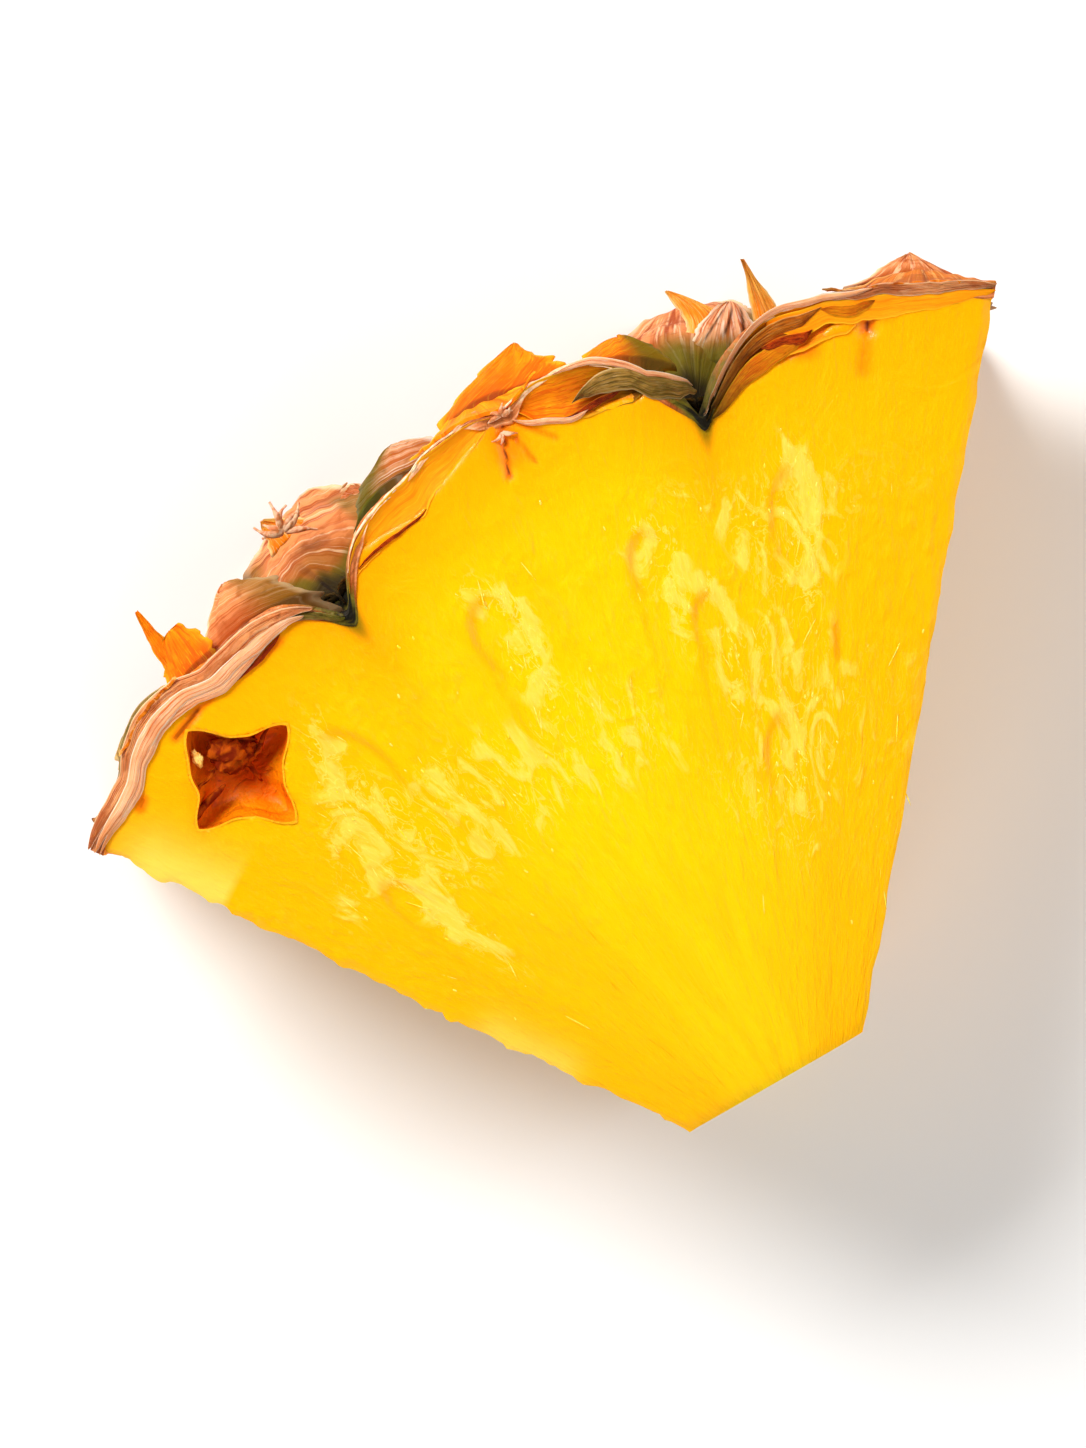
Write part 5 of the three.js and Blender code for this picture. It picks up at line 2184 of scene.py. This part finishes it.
@dataclass
class DriedFlower:
    """What is left of the flower in a cup: a shrivelled lump, strands and bright bits."""

    fruit: Fruit
    cup: Cup
    strand_steps: int = 28
    lump_steps: int = 18
    seed: int = 83

    def inside(self, x: float, y: float, sunk: float) -> ndarray:
        """A place in the cup.

        Args:
            x: Sideways in the photo's view, 1 at the star's mean size.
            y: Upwards in the photo's view, 1 at the star's mean size.
            sunk: How deep, 1 at the bottom.

        Returns:
            The point.
        """
        centre = self.fruit.place(self.cup.angle, self.cup.radius, self.cup.height)
        down = np.array((0.0, 0.0, -facing(self.cup.height) * sunk * self.cup.depth))
        return centre + self.cup.size * (x * PHOTO_RIGHT + y * PHOTO_UP) + down

    def strand(self, knots: Sequence[tuple[float, float, float]], thickness: float, seed: int) -> Thread:
        """A shrivelled strand through some places of the cup.

        Args:
            knots: The places, as inside takes them.
            thickness: Its greatest thickness.
            seed: Seed of its crinkles.

        Returns:
            The thread.
        """
        noise = Noise(self.seed + seed)
        corners = np.array([self.inside(*knot) for knot in knots])
        places = np.linspace(0.0, len(corners) - 1.0, self.strand_steps)
        path = np.stack([np.interp(places, range(len(corners)), column) for column in corners.T], axis=-1)
        for axis in range(3):
            path[:, axis] += 0.12 * noise.fractal(places * 2.0, axis * 9.0, 1.0, 2)
        path[:, 2] = np.maximum(path[:, 2], 0.5 * thickness + FLOOR_GAP)
        swell = 0.3 + 0.7 * np.sin(np.pi * places / places[-1]) ** 0.6
        return Thread(path, thickness * swell * (1.0 + 0.3 * noise.value(places * 3.0, 4.0)))

    def lump(self, centre: ndarray, radii: tuple[float, float, float], seed: int) -> Surface:
        """A shrivelled lump.

        Args:
            centre: Its middle.
            radii: Its half sizes.
            seed: Seed of its folds.

        Returns:
            Its surface.
        """
        unit, faces = box_lattice(self.lump_steps, self.lump_steps, self.lump_steps)
        ball = (unit - 0.5) / np.linalg.norm(unit - 0.5, axis=1, keepdims=True)
        noise = Noise(self.seed + seed)
        fold = 1.0 + 0.34 * noise.fractal(*(ball * 1.6).T, 3) - 0.2 * np.abs(noise.fractal(*(ball * 3.0).T, 2))
        points = centre + ball * fold[:, None] * np.array(radii)
        points[:, 2] = np.maximum(points[:, 2], FLOOR_GAP)
        return Surface(points, faces)


@dataclass(frozen=True)
class Knot:
    """Small shrivelled strands that meet in one place on the rind, like the ends of a dried flower."""

    name: str
    angle: float
    radius: float
    height: float
    reach: float
    strands: int
    thickness: float
    turn: float
    span: float
    seed: int

    def threads(self, fruit: Fruit) -> list[Thread]:
        """The strands, which curl away from the middle.

        Args:
            fruit: The fruit that the knot is on.

        Returns:
            One thread a strand.
        """
        draw = np.random.default_rng(self.seed)
        centre = fruit.place(self.angle, self.radius, self.height)
        turn = math.radians(self.angle)
        outward = np.array((-math.sin(turn), math.cos(turn), 0.0))
        sideways = np.array((math.cos(turn), math.sin(turn), 0.0))
        share = np.linspace(0.0, 1.0, 16)
        made = []
        for step in range(self.strands):
            heading = math.radians(self.turn + self.span * ((step + 0.5) / self.strands - 0.5))
            curl, reach = draw.uniform(-1.6, 1.6), self.reach * draw.uniform(0.65, 1.0)
            bend = heading + curl * share
            away = np.cumsum(np.stack([np.cos(bend), np.sin(bend)], axis=-1), axis=0) * reach / len(share)
            rise = draw.uniform(-0.5, 0.3) * share ** 2 + 0.25 * np.sin(np.pi * share)
            path = centre + away[:, :1] * outward + away[:, 1:] * sideways + rise[:, None] * np.array((0.0, 0.0, 1.0))
            made.append(Thread(path, self.thickness * (0.35 + 0.65 * np.sin(np.pi * np.clip(share + 0.2, 0.0, 1.0)))))
        return made


KNOTS = (
    Knot("pale_knot", 12.6, 58.6, 14.0, 2.4, 9, 0.5, 20.0, 200.0, 5),
    Knot("white_knot", -4.5, 58.3, 24.1, 1.3, 5, 0.34, 10.0, 220.0, 12),
    Knot("white_knot_inner", -4.1, 57.3, 24.06, 1.2, 4, 0.24, 170.0, 120.0, 19),
)


@dataclass
class Knots:
    """All knots on the rind."""

    fruit: Fruit
    knots: tuple[Knot, ...] = KNOTS
    sides: int = 6

    def build(self, material: Material) -> None:
        """Makes each knot a piece."""
        for knot in self.knots:
            Threads(knot.name, Slot.RIND, knot.threads(self.fruit), self.sides).build(material)


STRANDS = (
    (((-1.0, -1.0, 0.1), (-0.75, -0.62, 0.22), (-0.3, -0.2, 0.4)), 0.5),
    (((-0.95, -0.5, 0.12), (-0.72, -0.2, 0.2), (-0.5, 0.1, 0.42)), 0.3),
    (((0.5, 0.95, 0.25), (0.3, 0.45, 0.35), (0.05, 0.1, 0.5)), 0.36),
    (((-0.8, 0.85, 0.16), (-0.3, 0.72, 0.22), (0.25, 0.62, 0.4)), 0.34),
    (((0.35, -0.15, 0.6), (0.15, 0.1, 0.45), (-0.1, 0.3, 0.36)), 0.4),
)


@dataclass
class FlowerCups:
    """Every opened flower cup with its wall and what has dried in it.

    Each of the strands has the places that it runs through and its thickness.
    """

    fruit: Fruit
    strands: tuple[tuple[Sequence[tuple[float, float, float]], float], ...] = STRANDS
    style_place: tuple[float, float, float] = (-0.18, 0.42, 0.42)
    stamen_place: tuple[float, float, float] = (-0.82, 0.3, 0.2)

    def build(self, wall: Material, dried: Material, bright: Material) -> None:
        """Makes the walls, the lumps, the bright bits and the strands.

        Args:
            wall: Material of the cups' walls.
            dried: Material of the dried flower.
            bright: Material of the bright bits.
        """
        threads = []
        for index, cup in enumerate(self.fruit.cups):
            CupShape(self.fruit, cup).lining(index, wall)
            flower, size = DriedFlower(self.fruit, cup), cup.size
            threads += [flower.strand(*strand, 9 * row + index) for row, strand in enumerate(self.strands)]
            style = flower.lump(flower.inside(*self.style_place), (0.46 * size, 0.36 * size, 1.1), index)
            dress(style.piece(f"dried_flower_{index}", dried, 60.0))
            # A pale lump: partly a dried stamen, partly a painted glint.
            stamen = flower.lump(flower.inside(*self.stamen_place), (0.1 * size, 0.16 * size, 0.3), 5 + index)
            dress(stamen.piece(f"dried_stamen_{index}", bright, 60.0))
        Threads("dried_strands", Slot.FLOWER_CUP, threads).build(dried)


@dataclass(frozen=True)
class Studio:
    """The pale floor, the soft lights and the camera over the shown face."""

    view_centre: tuple[float, float, float] = (-2.7, 2.0, 22.0)
    distance: float = 720.0
    view_width: float = 74.0
    photo_size: tuple[int, int] = (1086, 1448)
    sensor: float = 36.0
    floor_size: float = 1400.0
    sky: float = 0.42
    overhead: float = 0.04
    sky_band: tuple[float, float] = (0.45, 0.92)
    aim_height: float = 12.0

    def camera(self) -> None:
        """Makes the camera at the photo's angle to the shown face."""
        tilt = math.radians(PHOTO_TILT)
        back = PHOTO_UP * math.sin(tilt) + np.array((0.0, 0.0, math.cos(tilt)))
        up = PHOTO_UP * math.cos(tilt) - np.array((0.0, 0.0, math.sin(tilt)))
        data = bpy.data.cameras.new("camera")
        data.sensor_fit = "AUTO"
        data.sensor_width = self.sensor
        view_height = self.view_width * self.photo_size[1] / self.photo_size[0]
        data.lens = self.sensor * self.distance / view_height
        data.clip_start = 0.01
        data.clip_end = 20.0
        made = bpy.data.objects.new("camera", data)
        bpy.context.scene.collection.objects.link(made)
        place = (np.array(self.view_centre) + back * self.distance) * MM
        axes = Matrix((Vector(PHOTO_RIGHT), Vector(up), Vector(back))).transposed()
        made.matrix_world = Matrix.Translation(Vector(place)) @ axes.to_4x4()
        bpy.context.scene.camera = made

    def light(self, name: str, place: Sequence[float], size: float, watts: float, colour: Sequence[float]) -> None:
        """Makes one soft light that looks at the wedge.

        Args:
            name: Name of the light.
            place: Where it is: right and up in the photo's view, and height, in millimetres.
            size: Its side in millimetres.
            watts: Its power.
            colour: Its colour.
        """
        data = bpy.data.lights.new(name, "AREA")
        data.shape = "SQUARE"
        data.size = size * MM
        data.energy = watts
        data.color = colour
        made = bpy.data.objects.new(name, data)
        bpy.context.scene.collection.objects.link(made)
        spot = Vector(place[0] * PHOTO_RIGHT + place[1] * PHOTO_UP + np.array((0.0, 0.0, place[2]))) * MM
        made.location = spot
        aim = Vector((0.0, 0.0, self.aim_height * MM)) - spot
        made.rotation_euler = aim.to_track_quat("-Z", "Y").to_euler()

    def floor(self) -> None:
        """Makes the pale floor."""
        half = self.floor_size / 2.0
        corners = np.array(((-half, -half, 0.0), (half, -half, 0.0), (half, half, 0.0), (-half, half, 0.0)))
        g = Graph("pale_floor")
        cloud = g.noise(g.node("ShaderNodeTexCoord").outputs["Object"], 3.0, scale=9.0)
        shade = g.mix(g.span(cloud, 0.3, 0.7), srgb(246, 246, 245), srgb(250, 250, 250))
        g.shade(Base_Color=shade, Roughness=0.85, Specular_IOR_Level=0.1)
        Surface(corners, [[0, 1, 2, 3]]).piece("floor", g.material)

    def build(self) -> None:
        """Makes the floor, the sky, the lights and the camera."""
        scene = bpy.context.scene
        scene.view_settings.view_transform = "Standard"
        world = bpy.data.worlds.new("studio")
        world.use_nodes = True
        sky = Nodes(world.node_tree)
        direction = sky.node("ShaderNodeTexCoord").outputs["Generated"]
        height = sky.node("ShaderNodeSeparateXYZ", {0: direction}).outputs[2]
        low, high = self.sky_band
        levels = {"Value": height, "From Min": low, "From Max": high, "To Min": self.sky, "To Max": self.overhead}
        light = sky.out("ShaderNodeMapRange", levels)
        sky.fill(sky.tree.nodes["Background"], {"Strength": light, "Color": (1.0, 1.0, 1.0, 1.0)})
        scene.world = world
        self.floor()
        self.light("key", (-330.0, 330.0, 420.0), 260.0, 4.7, (1.0, 0.985, 0.96))
        self.light("fill", (420.0, 60.0, 380.0), 420.0, 1.2, (1.0, 1.0, 1.0))
        self.light("low", (-60.0, -480.0, 330.0), 420.0, 0.9, (1.0, 1.0, 1.0))
        self.camera()


def main() -> None:
    """Makes the wedge's pieces and the studio round it."""
    logging.basicConfig(level=logging.INFO, format="%(name)s: %(message)s")
    fruit = Fruit()
    Studio().build()
    flesh_finish = FleshFinish().material(fruit)
    rind_finish = RindFinish().material(fruit)
    leaves = {stuff: finish.material(fruit) for stuff, finish in leaf_finishes().items()}
    wall = CupFinish().material(fruit)
    dried, bright, pale_edge, dark_edge, sac, dry_strand = [
        finish.material(fruit)
        for finish in (
            GrainFinish("dried_flower", srgb(116, 28, 0), srgb(176, 74, 2), 0.7, specular=0.06),
            # a pale dried stamen, partly its own colour and partly a painted glint on the cup's wall
            GrainFinish("dried_stamen", srgb(255, 214, 110), srgb(240, 160, 40), 0.35, 0.4),
            GrainFinish("pale_edge", srgb(255, 226, 190), srgb(248, 176, 128), 0.5, 0.1, 0.2),
            GrainFinish("dark_edge", srgb(120, 34, 4), srgb(190, 74, 8), 0.5, 0.1),
            # juice sacs and threads, paler than the flesh: partly their own colour, partly painted glints off the wet
            # surface
            GrainFinish("juice_sac", srgb(255, 232, 90), srgb(255, 220, 20), 0.18, 0.6, 0.3),
            GrainFinish("dry_strand", srgb(246, 190, 150), srgb(206, 120, 66), 0.55, 0.0, 0.2, 2.4),
        )
    ]

    flesh = Flesh(fruit).build(flesh_finish)
    Rind(fruit).build(rind_finish)
    Scales(fruit).build(leaves)
    LeafTips(fruit).build(leaves)
    RimLayers(fruit).build(leaves)
    RimThreads(fruit).build(pale_edge, dark_edge)
    FlowerCups(fruit).build(wall, dried, bright)
    Knots(fruit).build(dry_strand)
    Grains(fruit, "juice_sacs", 0.5, (0.2, 0.5), (0.1, 0.2), 0.05, 7).build(flesh, sac)
    Grains(fruit, "flesh_threads", 0.25, (0.8, 2.6), (0.06, 0.12), 0.03, 8).build(flesh, sac)


if __name__ == "__main__":
    main()
